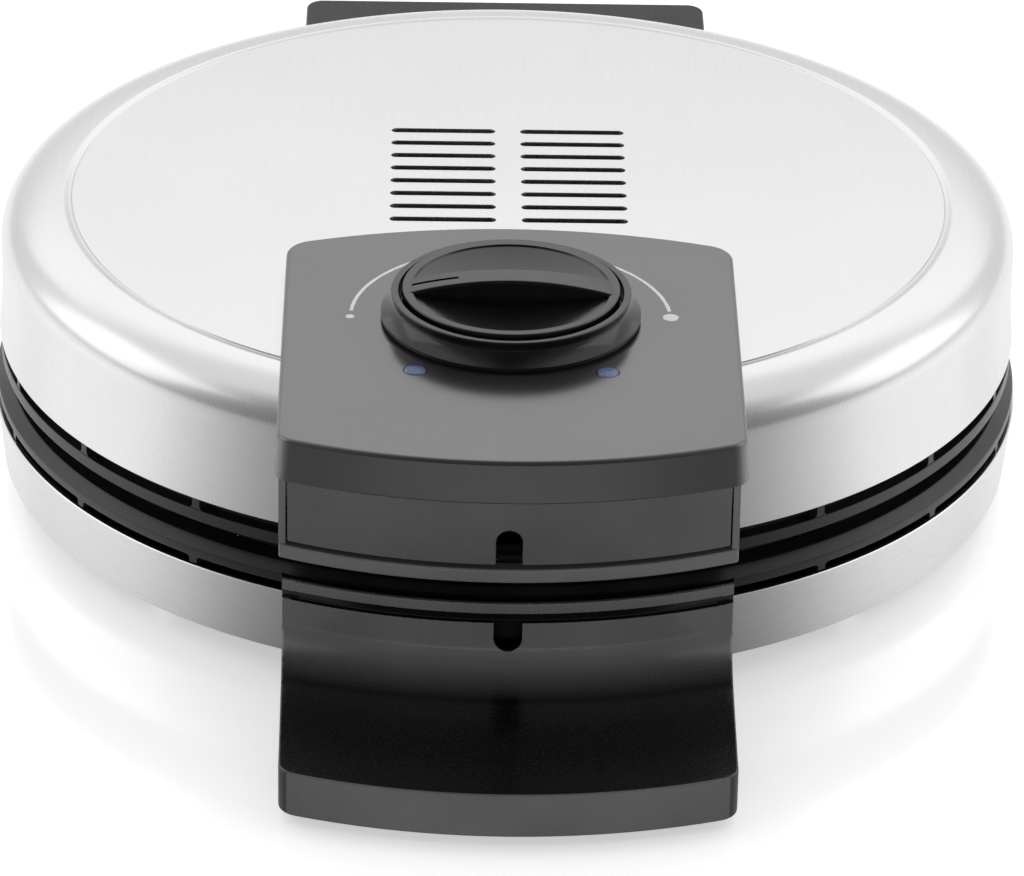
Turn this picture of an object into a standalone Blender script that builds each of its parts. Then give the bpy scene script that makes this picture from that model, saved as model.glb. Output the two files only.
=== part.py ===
"""A round waffle maker with a hinged lid, for five hearts in a ring.

The steel base and lid close on two coated plates. The lid turns on pins in the
rear hinge block, and the knob on its front panel turns the thermostat's shaft.
Metres, +Z up, the handle towards -Y. Every height is above the surface that
the four feet stand on.
"""
import math

import bmesh
import bpy
from mathutils import Matrix, Vector

# Whole object
housing_radius = 0.1175
sheet = 0.0012
clearance = 0.0003
overrun = 0.002
weld = 0.000002

# Feet and base cover
foot_height = 0.0036
foot_radius = 0.0082
foot_taper = 0.0008
front_foot_inset = 0.0295
front_foot_angle = math.radians(40)
rear_foot_spread = 0.0405
rear_foot_inset = 0.0088
cover_thickness = 0.002
cover_inset = 0.0045
cover_post_distance = 0.06
cover_post_radius = 0.005
cover_vent_length = 0.03
cover_vent_width = 0.003
cover_vent_pitch = 0.008
cover_vent_gap = 0.008

# Base shell
base_ring_height = 0.0158
base_draft_low = 0.0004
base_draft_high = 0.0012
hem_width = 0.0056
base_notch_half_width = 0.0075
base_notch_rise = 0.0058

# Trim rings, which carry the plates
lower_window_height = 0.0019
lower_band_height = 0.002
lower_band_chamfer = 0.002
lower_band_slope = 0.0027
lower_band_proud = 0.0008
upper_window_height = 0.00285
upper_band_height = 0.0033
upper_band_set_back = 0.0003
upper_band_chamfer = 0.0006
post_width = 0.002
post_set_back = 0.0002
post_depth = 0.0029
post_pitch = math.radians(18)
skirt_inset = 0.0035
skirt_wall = 0.002
skirt_floor_gap = 0.0004
ledge_width = 0.011
ledge_thickness = 0.0025
lid_skirt_height = 0.0142
boss_radius = 0.0042
boss_inset = 0.0065
boss_bore_depth = 0.009

# Cooking plates
plate_rim_proud = 0.0018
plate_rim_drop = 0.00185
plate_inset = 0.007
plate_body_gap = 0.003
plate_flange = 0.003
plate_depth = 0.0109
heart_depth = 0.0075
heart_count = 5
heart_tip_distance = 0.0105
mould_margin = 0.0078
mould_gap = 0.0038
lobe_turn = math.radians(16.06)
heart_draft = 0.0014
stud_pitch = 0.0125
stud_foot = 0.0064
stud_top = 0.0048
stud_height = 0.0045
stud_margin = 0.0055
stud_root = 0.0004

# Heaters and reflectors
heater_inset = 0.036
heater_tube = 0.0033
heater_tail_spread = 0.008
heater_tail_inset = 0.01
reflector_overlap = 0.001
reflector_sheet = 0.0006
reflector_gap = 0.0004
reflector_rim = 0.0012
wire_port_half_width = 0.011
wire_port_depth = 0.014

# Fasteners
screw_radius = 0.0016
screw_head_radius = 0.0033
screw_head_height = 0.0016
plate_screw_distance = 0.03
plate_screw_bite = 0.0019
housing_screw_length = 0.013
lid_front_screw_length = 0.009
rear_screw_spread = 0.03955
front_screw_spread = 0.03333
base_front_screw_rise = 0.0053
base_rear_screw_rise = 0.0093
lid_screw_drop = 0.0068

# Lid shell
lid_height = 0.0309
flare = 0.0007
flare_height = 0.009
disc_inset = 0.0171
shoulder_drop = 0.0099
shoulder_power = 2.25
disc_groove_width = 0.0022
disc_groove_step = 0.0004
disc_groove_depth = 0.00045
vent_length = 0.0243
vent_width = 0.0023
vent_pitch = 0.00702
vent_rows = 8
vent_setback = 0.01503
vent_column = 0.0151
panel_port_inset = 0.007

# Control panel
panel_half_width = 0.05
panel_length = 0.1163
panel_overhang = 0.0288
panel_rise = 0.0051
panel_skirt = 0.0097
panel_draft = 0.0006
panel_edge = 0.001
panel_wall = 0.0025
panel_front_bow = 0.1275
panel_back_bow = 0.138
panel_front_corner = 0.005
panel_back_corner = 0.007
panel_boss_spread = 0.036
panel_boss_inset = 0.015
panel_boss_radius = 0.0038
grip_cover_thickness = 0.002
grip_cover_overlap = 0.006

# Front wall and frame of the lid
wall_proud = 0.0035
lip_proud = 0.0042
wall_slot_width = 0.0057
wall_slot_rise = 0.0063
cheek_proud = 0.0002
cheek = 0.0016
cheek_set_back = 0.0003
lip_chamfer = 0.0005
wall_boss_radius = 0.004

# Handle of the base
handle_half_width = 0.0486
handle_flare = 0.0009
handle_reach = 0.0618
handle_bow = 0.135
handle_corner = 0.005
handle_edge = 0.0015
handle_lip_height = 0.0104
handle_ground_gap = 0.002
handle_bottom_chamfer = 0.001
handle_wall = 0.003
handle_lip_slope = 0.004
trough_reach = 0.016
trough_depth = 0.006
trough_floor = 0.01
base_lip_height = 0.0025
base_lip_set_back = 0.0011
base_lip_chamfer = 0.0006
base_groove_height = 0.0026
base_groove_depth = 0.0012
base_slot_width = 0.0063
base_slot_drop = 0.0012
pocket_rib = 0.002

# Hinge
hinge_reach = 0.0125
hinge_half_width = 0.0492
hinge_corner = 0.004
hinge_edge = 0.001
knuckle_radius = 0.006
ear_width = 0.0066
ear_headroom = 0.0012
ear_cap = 0.0015
pin_radius = 0.0025
pin_reach = 0.005
hinge_lid_drop = 0.0078
hinge_wall = 0.003
hinge_lid_port_half_width = 0.034
hinge_lid_port_base = 0.0035

# Mains inlet and terminals
inlet_offset = -0.026
inlet_rise = 0.0095
inlet_radius = 0.0048
inlet_lip = 0.0012
inlet_lip_width = 0.0014
inlet_bore = 0.0032
terminal_left = -0.012
terminal_right = 0.018
terminal_height = 0.0085
terminal_depth = 0.0072
terminal_screw_radius = 0.0018
terminal_screw_depth = 0.002
wire_radius = 0.001
wire_spread = 0.005

# Thermostat, cut-out and lamps
knob_setback = 0.0699
thermostat_width = 0.026
thermostat_depth = 0.024
thermostat_height = 0.0125
thermostat_drop = 0.0052
thermostat_neck = 0.0049
thermostat_bore_depth = 0.0018
shaft_radius = 0.003
shaft_insert = 0.0016
cutout_radius = 0.008
cutout_height = 0.0055
cutout_across = 0.012
cutout_back = 0.03
lamp_setback = 0.04315
lamp_spread = 0.02085
lens_radius = 0.0024
lens_proud = 0.0004
lens_flange = 0.0034
lens_flange_height = 0.0006
lamp_radius = 0.003
lamp_height = 0.0085

# Knob
knob_lift = 0.0006
knob_flange_radius = 0.0286
knob_flange_height = 0.0009
knob_rim_radius = 0.0264
knob_height = 0.006
knob_waist = 0.0009
knob_floor = 0.0018
knob_groove_radius = 0.0247
knob_edge = 0.0003
cap_radius = 0.0239
cap_ring_width = 0.002
cap_ring_rise = 0.0008
cap_dish = 0.0016
cap_bevel = 0.0004
bar_half_length = 0.0226
bar_end_width = 0.0076
bar_waist_width = 0.0064
bar_arch = 0.0029
bar_edge = 0.0006
pointer_start = 0.0116
pointer_end = 0.0218
pointer_width = 0.001
pointer_depth = 0.0003

# How finely round shapes are divided
round_sides = 60
knob_sides = 40
inner_sides = 36
small_sides = 16
screw_sides = 8
corner_steps = 4
slot_end_steps = 2
trough_steps = 6
lobe_steps = 7
bow_steps = 8
heater_steps = 20
shoulder_steps = 6
inner_shoulder_steps = 2

# Heights, from the floor up
cover_bottom = foot_height + clearance
cover_top = cover_bottom + cover_thickness
ring_bottom = cover_top + clearance
base_edge = ring_bottom + base_ring_height
lower_band_bottom = base_edge + lower_window_height
lower_band_edge = lower_band_bottom + lower_band_height
lower_band_top = lower_band_edge + lower_band_chamfer
lower_rim = lower_band_top + plate_rim_proud
upper_rim = lower_rim + clearance
parting = (lower_rim + upper_rim) / 2
upper_band_bottom = upper_rim + plate_rim_drop
upper_band_top = upper_band_bottom + upper_band_height
lid_edge = upper_band_top + upper_window_height
disc_height = lid_edge + lid_height
shoulder_base = disc_height - shoulder_drop
lower_ledge_top = lower_rim - plate_flange - clearance
lower_plate_bottom = lower_rim - plate_depth
heart_floor = lower_rim - heart_depth
lower_heater_height = lower_plate_bottom - clearance - heater_tube
lower_reflector_top = lower_heater_height - heater_tube - reflector_gap
lower_reflector_bottom = lower_reflector_top - reflector_sheet
skirt_bottom = ring_bottom + sheet + skirt_floor_gap
upper_ledge_bottom = upper_rim + plate_flange + clearance
upper_ledge_top = upper_ledge_bottom + ledge_thickness
lid_skirt_top = upper_ledge_top + lid_skirt_height
panel_top = disc_height + panel_rise
panel_foot = panel_top - panel_skirt
panel_ceiling = panel_top - panel_wall
knob_base = panel_top + knob_lift
knob_rim_height = knob_base + knob_height
cap_base = knob_base + knob_floor + clearance
cap_ring_height = knob_rim_height + cap_ring_rise
cap_dish_height = cap_ring_height - cap_dish
handle_top = handle_ground_gap + handle_lip_height
base_lip_bottom = lower_band_top - base_lip_height - base_lip_set_back
base_lip_top = base_lip_bottom + base_lip_height
base_groove_bottom = base_lip_bottom - base_groove_height
trough_top = trough_floor + trough_depth
hinge_top = disc_height - hinge_lid_drop


def upper(height):
    """The height in the lid that mirrors a height in the base."""
    return lower_rim + upper_rim - height


# Radii and places, seen from above
skirt_radius = housing_radius - skirt_inset
cover_radius = housing_radius - cover_inset
ledge_radius = skirt_radius - skirt_wall - ledge_width
boss_distance = skirt_radius - boss_inset
plate_radius = housing_radius - plate_inset
plate_body_radius = ledge_radius - plate_body_gap
disc_radius = housing_radius - disc_inset
front_foot_distance = housing_radius - front_foot_inset
heater_radius = plate_body_radius - heater_inset
heater_tail_reach = plate_body_radius - heater_tail_inset
reflector_radius = ledge_radius + reflector_overlap
lid_reflector_radius = skirt_radius - skirt_wall - clearance - clearance
rear_screw_angle = math.asin(rear_screw_spread / skirt_radius)
front_screw_angle = math.asin(front_screw_spread / skirt_radius)
base_low_radius = housing_radius - base_draft_low
base_high_radius = housing_radius + base_draft_high
lower_band_radius = base_high_radius - base_draft_low
upper_band_radius = housing_radius - upper_band_set_back
lid_side_radius = housing_radius - flare
seat_radius = plate_radius + clearance + clearance
wall_radius = housing_radius + wall_proud
lip_radius = housing_radius + lip_proud
lid_inner_wall = housing_radius + clearance
base_inner_wall = base_high_radius + clearance
panel_front = -(housing_radius + panel_overhang)
panel_back = panel_front + panel_length
panel_front_centre = panel_front + panel_front_bow
panel_back_centre = panel_back - panel_back_bow
knob_place = panel_front + knob_setback
lamp_place = panel_front + lamp_setback
frame_half_width = panel_half_width + cheek_proud
insert_half_width = frame_half_width - cheek - clearance
handle_front = -(housing_radius + handle_reach)
handle_centre = handle_front + handle_bow
hinge_back = housing_radius + hinge_reach
hinge_axis_y = hinge_back - knuckle_radius
knuckle_half_width = hinge_half_width - ear_width - clearance
screw_bore = screw_radius + clearance
vent_middle = panel_back + vent_setback + (vent_rows - 1) / 2 * vent_pitch
rear_reach = hinge_back + clearance + inlet_lip
middle_shift = -(handle_front + rear_reach) / 2

# The two round lobes of a heart mould touch the plate's margin and the gap to the next mould
lobe_room_share = math.sin(math.pi / heart_count - lobe_turn)
mould_reach = plate_body_radius - mould_margin
lobe_radius = (mould_reach * lobe_room_share - mould_gap / 2) / (1 + lobe_room_share)
lobe_spread = (mould_reach - lobe_radius) * math.sin(lobe_turn)
lobe_distance = (mould_reach - lobe_radius) * math.cos(lobe_turn)


def finished(name, bm):
    """Turn a mesh in the making into an object, with its faces pointing out."""
    bmesh.ops.remove_doubles(bm, verts=bm.verts, dist=weld)
    bmesh.ops.recalc_face_normals(bm, faces=bm.faces)
    mesh = bpy.data.meshes.new(name)
    bm.to_mesh(mesh)
    bm.free()
    piece = bpy.data.objects.new(name, mesh)
    bpy.context.scene.collection.objects.link(piece)
    return piece


def turned(name, profile, sides=round_sides):
    """Spin a profile of (radius, height) points round the Z axis."""
    bm = bmesh.new()
    verts = [bm.verts.new((radius, 0, height)) for radius, height in profile]
    edges = []
    for first, second in zip(verts, verts[1:] + verts[:1]):
        if first.co.x > 0 or second.co.x > 0:
            edges.append(bm.edges.new((first, second)))
    bmesh.ops.spin(
        bm, geom=verts + edges, cent=(0, 0, 0), axis=(0, 0, 1),
        angle=math.tau, steps=sides, use_merge=True)
    return finished(name, bm)


def lofted(name, loops):
    """Skin a row of loops whose points match one to one."""
    bm = bmesh.new()
    order = bm.verts.layers.int.new("order")
    verts = [bm.verts.new(point) for point in loops[0]]
    for index, vert in enumerate(verts):
        vert[order] = index
    face = bm.faces.new(verts)
    for loop in loops[1:]:
        region = [face, *face.edges, *face.verts]
        grown = bmesh.ops.extrude_face_region(bm, geom=region)["geom"]
        face = [item for item in grown if isinstance(item, bmesh.types.BMFace)][0]
        for vert in face.verts:
            vert.co = loop[vert[order]]
    return finished(name, bm)


def prism(name, outline, low, high, axis="Z"):
    """Extrude a flat outline along an axis, between two places on it."""
    def placed(point, along):
        across, up = point
        if axis == "Z":
            return (across, up, along)
        if axis == "Y":
            return (across, along, up)
        return (along, across, up)
    return lofted(name, [[placed(point, along) for point in outline] for along in (low, high)])


def block(name, left, right, front, back, bottom, top):
    """A box between six planes."""
    bm = bmesh.new()
    size = Matrix.Diagonal((right - left, back - front, top - bottom, 1))
    middle = Matrix.Translation(((left + right) / 2, (front + back) / 2, (bottom + top) / 2))
    bmesh.ops.create_cube(bm, size=1, matrix=middle @ size)
    return finished(name, bm)


def rod(name, radius, start, end, sides=screw_sides):
    """A round bar between two points."""
    start = Vector(start)
    run = Vector(end) - start
    turn = run.to_track_quat("Z", "Y").to_matrix().to_4x4()
    bm = bmesh.new()
    bmesh.ops.create_cone(
        bm, cap_ends=True, segments=sides, radius1=radius, radius2=radius,
        depth=run.length, matrix=Matrix.Translation(start + run / 2) @ turn)
    return finished(name, bm)


def tube(name, points, radius):
    """A wire or heater tube along a line of points, with capped ends."""
    curve = bpy.data.curves.new(name, "CURVE")
    curve.dimensions = "3D"
    curve.bevel_depth = radius
    curve.bevel_resolution = 2
    curve.use_fill_caps = True
    spline = curve.splines.new("POLY")
    spline.points.add(len(points) - 1)
    for target, point in zip(spline.points, points):
        target.co = (*point, 1)
    guide = bpy.data.objects.new(name, curve)
    bpy.context.scene.collection.objects.link(guide)
    bpy.context.view_layer.update()
    bm = bmesh.new()
    bm.from_mesh(guide.to_mesh())
    guide.to_mesh_clear()
    bpy.data.objects.remove(guide)
    bpy.data.curves.remove(curve)
    return finished(name, bm)


def joined(name, pieces):
    """One object from pieces that don't touch."""
    bm = bmesh.new()
    for piece in pieces:
        bm.from_mesh(piece.data)
        bpy.data.objects.remove(piece)
    return finished(name, bm)


def shaped(target, tool, operation="DIFFERENCE"):
    """Cut or join a tool piece into a target, and keep the result as its mesh."""
    step = target.modifiers.new(operation.lower(), "BOOLEAN")
    step.operation = operation
    step.solver = "EXACT"
    step.object = tool
    graph = bpy.context.evaluated_depsgraph_get()
    graph.update()
    mesh = bpy.data.meshes.new_from_object(target.evaluated_get(graph))
    target.modifiers.clear()
    target.data = mesh
    bpy.data.objects.remove(tool)
    return target


def spun(piece, angle):
    """Turn a piece about the body's axis."""
    piece.data.transform(Matrix.Rotation(angle, 4, "Z"))
    return piece


def moved(piece, across, along, up):
    """Shift a piece's mesh."""
    piece.data.transform(Matrix.Translation((across, along, up)))
    return piece


def mirrored(piece):
    """Turn a piece of the base upside down about the parting plane."""
    flip = Matrix.Translation((0, 0, lower_rim + upper_rim)) @ Matrix.Diagonal((1, 1, -1, 1))
    bm = bmesh.new()
    bm.from_mesh(piece.data)
    bmesh.ops.transform(bm, matrix=flip, verts=bm.verts)
    bmesh.ops.reverse_faces(bm, faces=bm.faces)
    bm.to_mesh(piece.data)
    bm.free()
    return piece


def arc(centre, radius, start, end, steps):
    """Points along an arc in a plane."""
    points = []
    for step in range(steps + 1):
        angle = start + (end - start) * step / steps
        points.append((centre[0] + radius * math.cos(angle), centre[1] + radius * math.sin(angle)))
    return points


def bowed_end(half_width, centre, bow, corner, way):
    """One bowed end of an outline, right to left: corner, bow, corner.

    way is -1 for an end towards the front and 1 for one towards the back.
    """
    across = half_width - corner
    rise = math.sqrt((bow - corner) ** 2 - across ** 2)
    lean = math.atan2(across, rise)
    right = arc((across, rise), corner, 0, math.pi / 2 - lean, corner_steps)
    middle = arc((0, 0), bow, math.pi / 2 - lean, math.pi / 2 + lean, bow_steps)
    left = [(-x, y) for x, y in reversed(right)]
    return [(x, centre + way * y) for x, y in right + middle[1:-1] + left]


def slot_outline(across, up, length, width):
    """A slot with round ends, its length along the first axis."""
    reach = (length - width) / 2
    right = arc((across + reach, up), width / 2, -math.pi / 2, math.pi / 2, slot_end_steps)
    left = arc((across - reach, up), width / 2, math.pi / 2, 1.5 * math.pi, slot_end_steps)
    return right + left


def arch_outline(half_width, bottom, top, way):
    """An opening with straight sides and one round end, at the top or the bottom."""
    if way > 0:
        return [(-half_width, bottom), (half_width, bottom)] + arc(
            (0, top - half_width), half_width, 0, math.pi, 2 * corner_steps)
    return [(half_width, top), (-half_width, top)] + arc(
        (0, bottom + half_width), half_width, math.pi, math.tau, 2 * corner_steps)


def front_of(radius, across):
    """Where a circle round the body's axis passes in front, at a place across."""
    return -math.sqrt(radius ** 2 - across ** 2)


def band_outline(inner, outer, left, right):
    """Part of a ring at the front of the body, between two upright planes."""
    far = arc((0, 0), outer, 1.5 * math.pi + math.asin(left / outer),
              1.5 * math.pi + math.asin(right / outer), bow_steps)
    near = arc((0, 0), inner, 1.5 * math.pi + math.asin(right / inner),
               1.5 * math.pi + math.asin(left / inner), bow_steps)
    return far + near


def panel_outline(grow):
    """The control panel seen from above, made larger all round by grow."""
    front = bowed_end(panel_half_width + grow, panel_front_centre, panel_front_bow + grow,
                      panel_front_corner + grow, -1)
    back = bowed_end(panel_half_width + grow, panel_back_centre, panel_back_bow + grow,
                     panel_back_corner + grow, 1)
    return front + list(reversed(back))


def lid_outside(grow, steps=shoulder_steps):
    """Profile of the lid's outer face, from its lower edge to the edge of the disc."""
    points = [(housing_radius + grow, lid_edge), (lid_side_radius + grow, lid_edge + flare_height)]
    wide = lid_side_radius - disc_radius + grow
    tall = shoulder_drop + grow
    for step in range(steps + 1):
        angle = math.pi / 2 * step / steps
        out = wide * math.cos(angle) ** (2 / shoulder_power)
        up = tall * math.sin(angle) ** (2 / shoulder_power)
        points.append((disc_radius + out, shoulder_base + up))
    points[-1] = (disc_radius, shoulder_base + tall)
    return points


def lid_envelope():
    """The space of the whole lid and its clearance, which cuts what is fitted to it."""
    low = lid_edge - overrun
    return turned("envelope", lid_outside(clearance) + [
        (0, disc_height + clearance), (0, low), (lid_inner_wall, low)])


def screw(name, start, end):
    """A pan-head screw whose head sits at the start of its shank."""
    start = Vector(start)
    run = Vector(end) - start
    profile = [
        (0, 0), (screw_head_radius, 0), (screw_head_radius, screw_head_height),
        (screw_radius, screw_head_height), (screw_radius, run.length), (0, run.length)]
    piece = turned(name, profile, screw_sides)
    piece.data.transform(Matrix.Translation(start) @ run.to_track_quat("Z", "Y").to_matrix().to_4x4())
    return piece


def screws(name, runs):
    """Like screws, one for each pair of start and end."""
    return [screw(f"{name}_{index}", start, end) for index, (start, end) in enumerate(runs, 1)]


def finish(name, colour, roughness, metallic=0.0):
    """A material with a plain colour, roughness and metallic value."""
    material = bpy.data.materials.new(name)
    material.use_nodes = True
    shader = material.node_tree.nodes["Principled BSDF"]
    shader.inputs["Base Color"].default_value = (*colour, 1)
    shader.inputs["Roughness"].default_value = roughness
    shader.inputs["Metallic"].default_value = metallic
    material.diffuse_color = (*colour, 1)
    return material


def base_shell():
    """Brushed steel ring round the base, with a hem turned in at its foot."""
    profile = [
        (base_low_radius, ring_bottom), (base_high_radius, base_edge),
        (base_high_radius - sheet, base_edge), (base_low_radius - sheet, ring_bottom + sheet),
        (base_low_radius - hem_width, ring_bottom + sheet), (base_low_radius - hem_width, ring_bottom)]
    shell = turned("base_shell", profile)
    inside = base_low_radius - hem_width
    notch = block("notch", -base_notch_half_width, base_notch_half_width, -base_high_radius - overrun,
                  -inside, ring_bottom + base_notch_rise, base_edge + overrun)
    port = block("port", -wire_port_half_width, wire_port_half_width, inside,
                 base_high_radius + overrun, lower_reflector_top, base_edge - ledge_thickness)
    return shaped(shaped(shaped(shell, notch), port), housing_bores("base"))


def housing_bores(part):
    """Bores for the screws that hold the handle and the hinge block, as one cutter."""
    bores = [rod("bore", screw_bore, start, end) for start, end in housing_screw_runs(part, clearance)]
    return joined("housing_bores", bores)


def housing_screw_runs(part, slack=0.0):
    """Start and end of each screw through the wall of the base or of the lid."""
    if part == "base":
        rises = {"rear": ring_bottom + base_rear_screw_rise, "front": ring_bottom + base_front_screw_rise}
    else:
        rises = {"rear": lid_skirt_top - lid_screw_drop, "front": lid_skirt_top - lid_screw_drop}
    inside = (skirt_radius - skirt_wall) * math.cos(math.pi / round_sides) - clearance - screw_head_height
    lengths = {"rear": housing_screw_length, "front": housing_screw_length}
    if part == "lid":
        lengths["front"] = lid_front_screw_length
    runs = []
    for place, angle, way in (("rear", rear_screw_angle, 1), ("front", front_screw_angle, -1)):
        outside = inside + lengths[place] + slack
        for side in (-1, 1):
            heading = (side * math.sin(angle), way * math.cos(angle))
            runs.append(((heading[0] * inside, heading[1] * inside, rises[place]),
                         (heading[0] * outside, heading[1] * outside, rises[place])))
    return runs


def posts(bottom, top, radius):
    """Twenty short posts round a trim ring, one behind the other side's."""
    pieces = []
    for index in range(round(math.tau / post_pitch)):
        post = block("post", -post_width / 2, post_width / 2, -radius, -radius + post_depth, bottom, top)
        pieces.append(spun(post, index * post_pitch))
    return joined("posts", pieces)


def base_trim_ring():
    """Black plastic ring: band, posts, ledge for the plate, skirt and screw bosses."""
    inner_skirt = skirt_radius - skirt_wall
    profile = [
        (ledge_radius, lower_ledge_top - ledge_thickness), (inner_skirt, lower_ledge_top - ledge_thickness),
        (inner_skirt, skirt_bottom), (skirt_radius, skirt_bottom), (skirt_radius, lower_band_bottom),
        (lower_band_radius, lower_band_bottom), (lower_band_radius, lower_band_edge),
        (lower_band_radius - lower_band_slope, lower_band_top), (seat_radius, lower_band_top),
        (seat_radius, lower_ledge_top), (ledge_radius, lower_ledge_top)]
    ring = turned("base_trim_ring", profile)
    ring = shaped(ring, posts(base_edge + clearance, lower_band_bottom + lower_band_height / 2,
                              lower_band_radius - post_set_back), "UNION")
    boss_top = lower_ledge_top - ledge_thickness / 2
    bosses = [rod("boss", boss_radius, (x, y, skirt_bottom), (x, y, boss_top)) for x, y in boss_places()]
    ring = shaped(ring, joined("bosses", bosses), "UNION")
    bores = [rod("bore", screw_bore, (x, y, skirt_bottom - overrun), (x, y, skirt_bottom + boss_bore_depth))
             for x, y in boss_places()]
    ring = shaped(ring, joined("bores", bores))
    port = block("port", -wire_port_half_width, wire_port_half_width, inner_skirt - skirt_wall,
                 skirt_radius + clearance, lower_reflector_top, base_edge - ledge_thickness)
    return shaped(shaped(ring, port), housing_bores("base"))


def boss_places():
    """The four places of the base cover's screws."""
    reach = boss_distance * math.sqrt(0.5)
    return [(x, y) for x in (-reach, reach) for y in (-reach, reach)]


def lid_trim_ring():
    """Black plastic ring under the lid shell, which holds the upper plate."""
    inner_skirt = skirt_radius - skirt_wall
    profile = [
        (ledge_radius, upper_ledge_bottom), (seat_radius, upper_ledge_bottom),
        (seat_radius, upper_band_bottom), (upper_band_radius - upper_band_chamfer, upper_band_bottom),
        (upper_band_radius, upper_band_bottom + upper_band_chamfer), (upper_band_radius, upper_band_top),
        (skirt_radius, upper_band_top), (skirt_radius, lid_skirt_top), (inner_skirt, lid_skirt_top),
        (inner_skirt, upper_ledge_top), (ledge_radius, upper_ledge_top)]
    ring = turned("lid_trim_ring", profile)
    ring = shaped(ring, posts(upper_band_top - upper_band_height / 2, lid_edge - clearance,
                              upper_band_radius - post_set_back), "UNION")
    return shaped(ring, housing_bores("lid"))


def base_cover():
    """Plastic floor of the base, with vents, screw holes and posts for the reflector."""
    profile = [(0, cover_bottom), (cover_radius, cover_bottom), (cover_radius, cover_top), (0, cover_top)]
    cover = turned("base_cover", profile, inner_sides)
    cuts = []
    for x in (-1, 1):
        centre = x * (cover_vent_length + cover_vent_gap) / 2
        for row in (-2, -1, 0, 1, 2):
            outline = slot_outline(centre, row * cover_vent_pitch, cover_vent_length, cover_vent_width)
            cuts.append(prism("vent", outline, cover_bottom - overrun, cover_top + overrun))
    for x, y in boss_places():
        cuts.append(rod("hole", screw_bore, (x, y, cover_bottom - overrun), (x, y, cover_top + overrun)))
    cover = shaped(cover, joined("cuts", cuts))
    supports = []
    for turn in (90, 210, 330):
        angle = math.radians(turn)
        x = cover_post_distance * math.cos(angle)
        y = cover_post_distance * math.sin(angle)
        supports.append(rod("post", cover_post_radius, (x, y, cover_bottom + cover_thickness / 2),
                            (x, y, lower_reflector_bottom - clearance)))
    return shaped(cover, joined("supports", supports), "UNION")


def foot(name, x, y):
    """One tapered rubber foot."""
    profile = [
        (0, 0), (foot_radius - foot_taper, 0), (foot_radius, foot_height - foot_taper),
        (foot_radius, foot_height), (0, foot_height)]
    return moved(turned(name, profile, small_sides), x, y, 0)


def heart_outline(inset):
    """A heart with its tip towards the plate's middle and its axis along +Y."""
    reach = lobe_distance - heart_tip_distance
    span = math.hypot(lobe_spread, reach)
    side = math.atan2(lobe_spread, reach) + math.asin(lobe_radius / span)
    tip = heart_tip_distance + inset / math.sin(side)
    radius = lobe_radius - inset
    notch = math.acos(lobe_spread / radius)
    right = arc((lobe_spread, lobe_distance), radius, -side, math.pi - notch, lobe_steps)
    left = [(-x, y) for x, y in reversed(right[:-1])]
    return [(0, tip)] + right + left


def clear_of_edge(outline, point):
    """Distance of a point inside an outline from its edge, or less than zero outside it."""
    x, y = point
    inside = False
    nearest = plate_radius
    for (ax, ay), (bx, by) in zip(outline, outline[1:] + outline[:1]):
        if (ay > y) != (by > y) and x < ax + (bx - ax) * (y - ay) / (by - ay):
            inside = not inside
        run = Vector((bx - ax, by - ay))
        share = max(0, min(1, Vector((x - ax, y - ay)).dot(run) / run.length_squared))
        nearest = min(nearest, math.hypot(ax + run.x * share - x, ay + run.y * share - y))
    return nearest if inside else -nearest


def stud_places():
    """Grid places whose studs stand clear of the heart's wall."""
    outline = heart_outline(heart_draft)
    reach = math.ceil((lobe_distance + lobe_radius) / stud_pitch)
    places = []
    for column in range(-reach, reach + 1):
        for row in range(2 * reach):
            place = (column * stud_pitch, heart_tip_distance + row * stud_pitch)
            if clear_of_edge(outline, place) > stud_margin:
                places.append(place)
    return places


def heart_angles():
    """Turn of each heart about the plate's middle, the first one towards the front."""
    return [math.pi + index * math.tau / heart_count for index in range(heart_count)]


def plate(name):
    """Cast plate with five heart moulds, seen as the lower one."""
    profile = [
        (0, lower_plate_bottom), (plate_body_radius, lower_plate_bottom),
        (plate_body_radius, lower_rim - plate_flange), (plate_radius, lower_rim - plate_flange),
        (plate_radius, lower_rim), (0, lower_rim)]
    body = turned(name, profile, inner_sides)
    top = lower_rim + overrun
    widen = heart_draft * overrun / heart_depth
    moulds = []
    for angle in heart_angles():
        loops = [[(x, y, height) for x, y in heart_outline(inset)]
                 for inset, height in ((heart_draft, heart_floor), (-widen, top))]
        moulds.append(spun(lofted("mould", loops), angle))
    body = shaped(body, joined("moulds", moulds))
    grids = []
    for angle in heart_angles():
        for x, y in stud_places():
            loops = []
            ends = ((stud_foot, heart_floor - stud_root), (stud_top, heart_floor + stud_height))
            for width, height in ends:
                half = width / 2
                loops.append([(x - half, y - half, height), (x + half, y - half, height),
                              (x + half, y + half, height), (x - half, y + half, height)])
            grids.append(spun(lofted("stud", loops), angle))
    body = shaped(body, joined("studs", grids), "UNION")
    bores = [rod("bore", screw_bore, (x, y, lower_plate_bottom - overrun),
                 (x, y, lower_plate_bottom + plate_screw_bite + clearance)) for x, y in plate_screw_places()]
    return shaped(body, joined("bores", bores))


def plate_screw_places():
    """Three screws round the middle of a plate, between the moulds' tips and the heater."""
    return [(plate_screw_distance * math.cos(math.radians(turn)),
             plate_screw_distance * math.sin(math.radians(turn))) for turn in (30, 150, 270)]


def plate_screws(name):
    """The screws that clamp reflector, heater and plate together."""
    start = lower_reflector_bottom - clearance - screw_head_height
    end = lower_plate_bottom + plate_screw_bite
    return screws(name, [((x, y, start), (x, y, end)) for x, y in plate_screw_places()])


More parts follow.
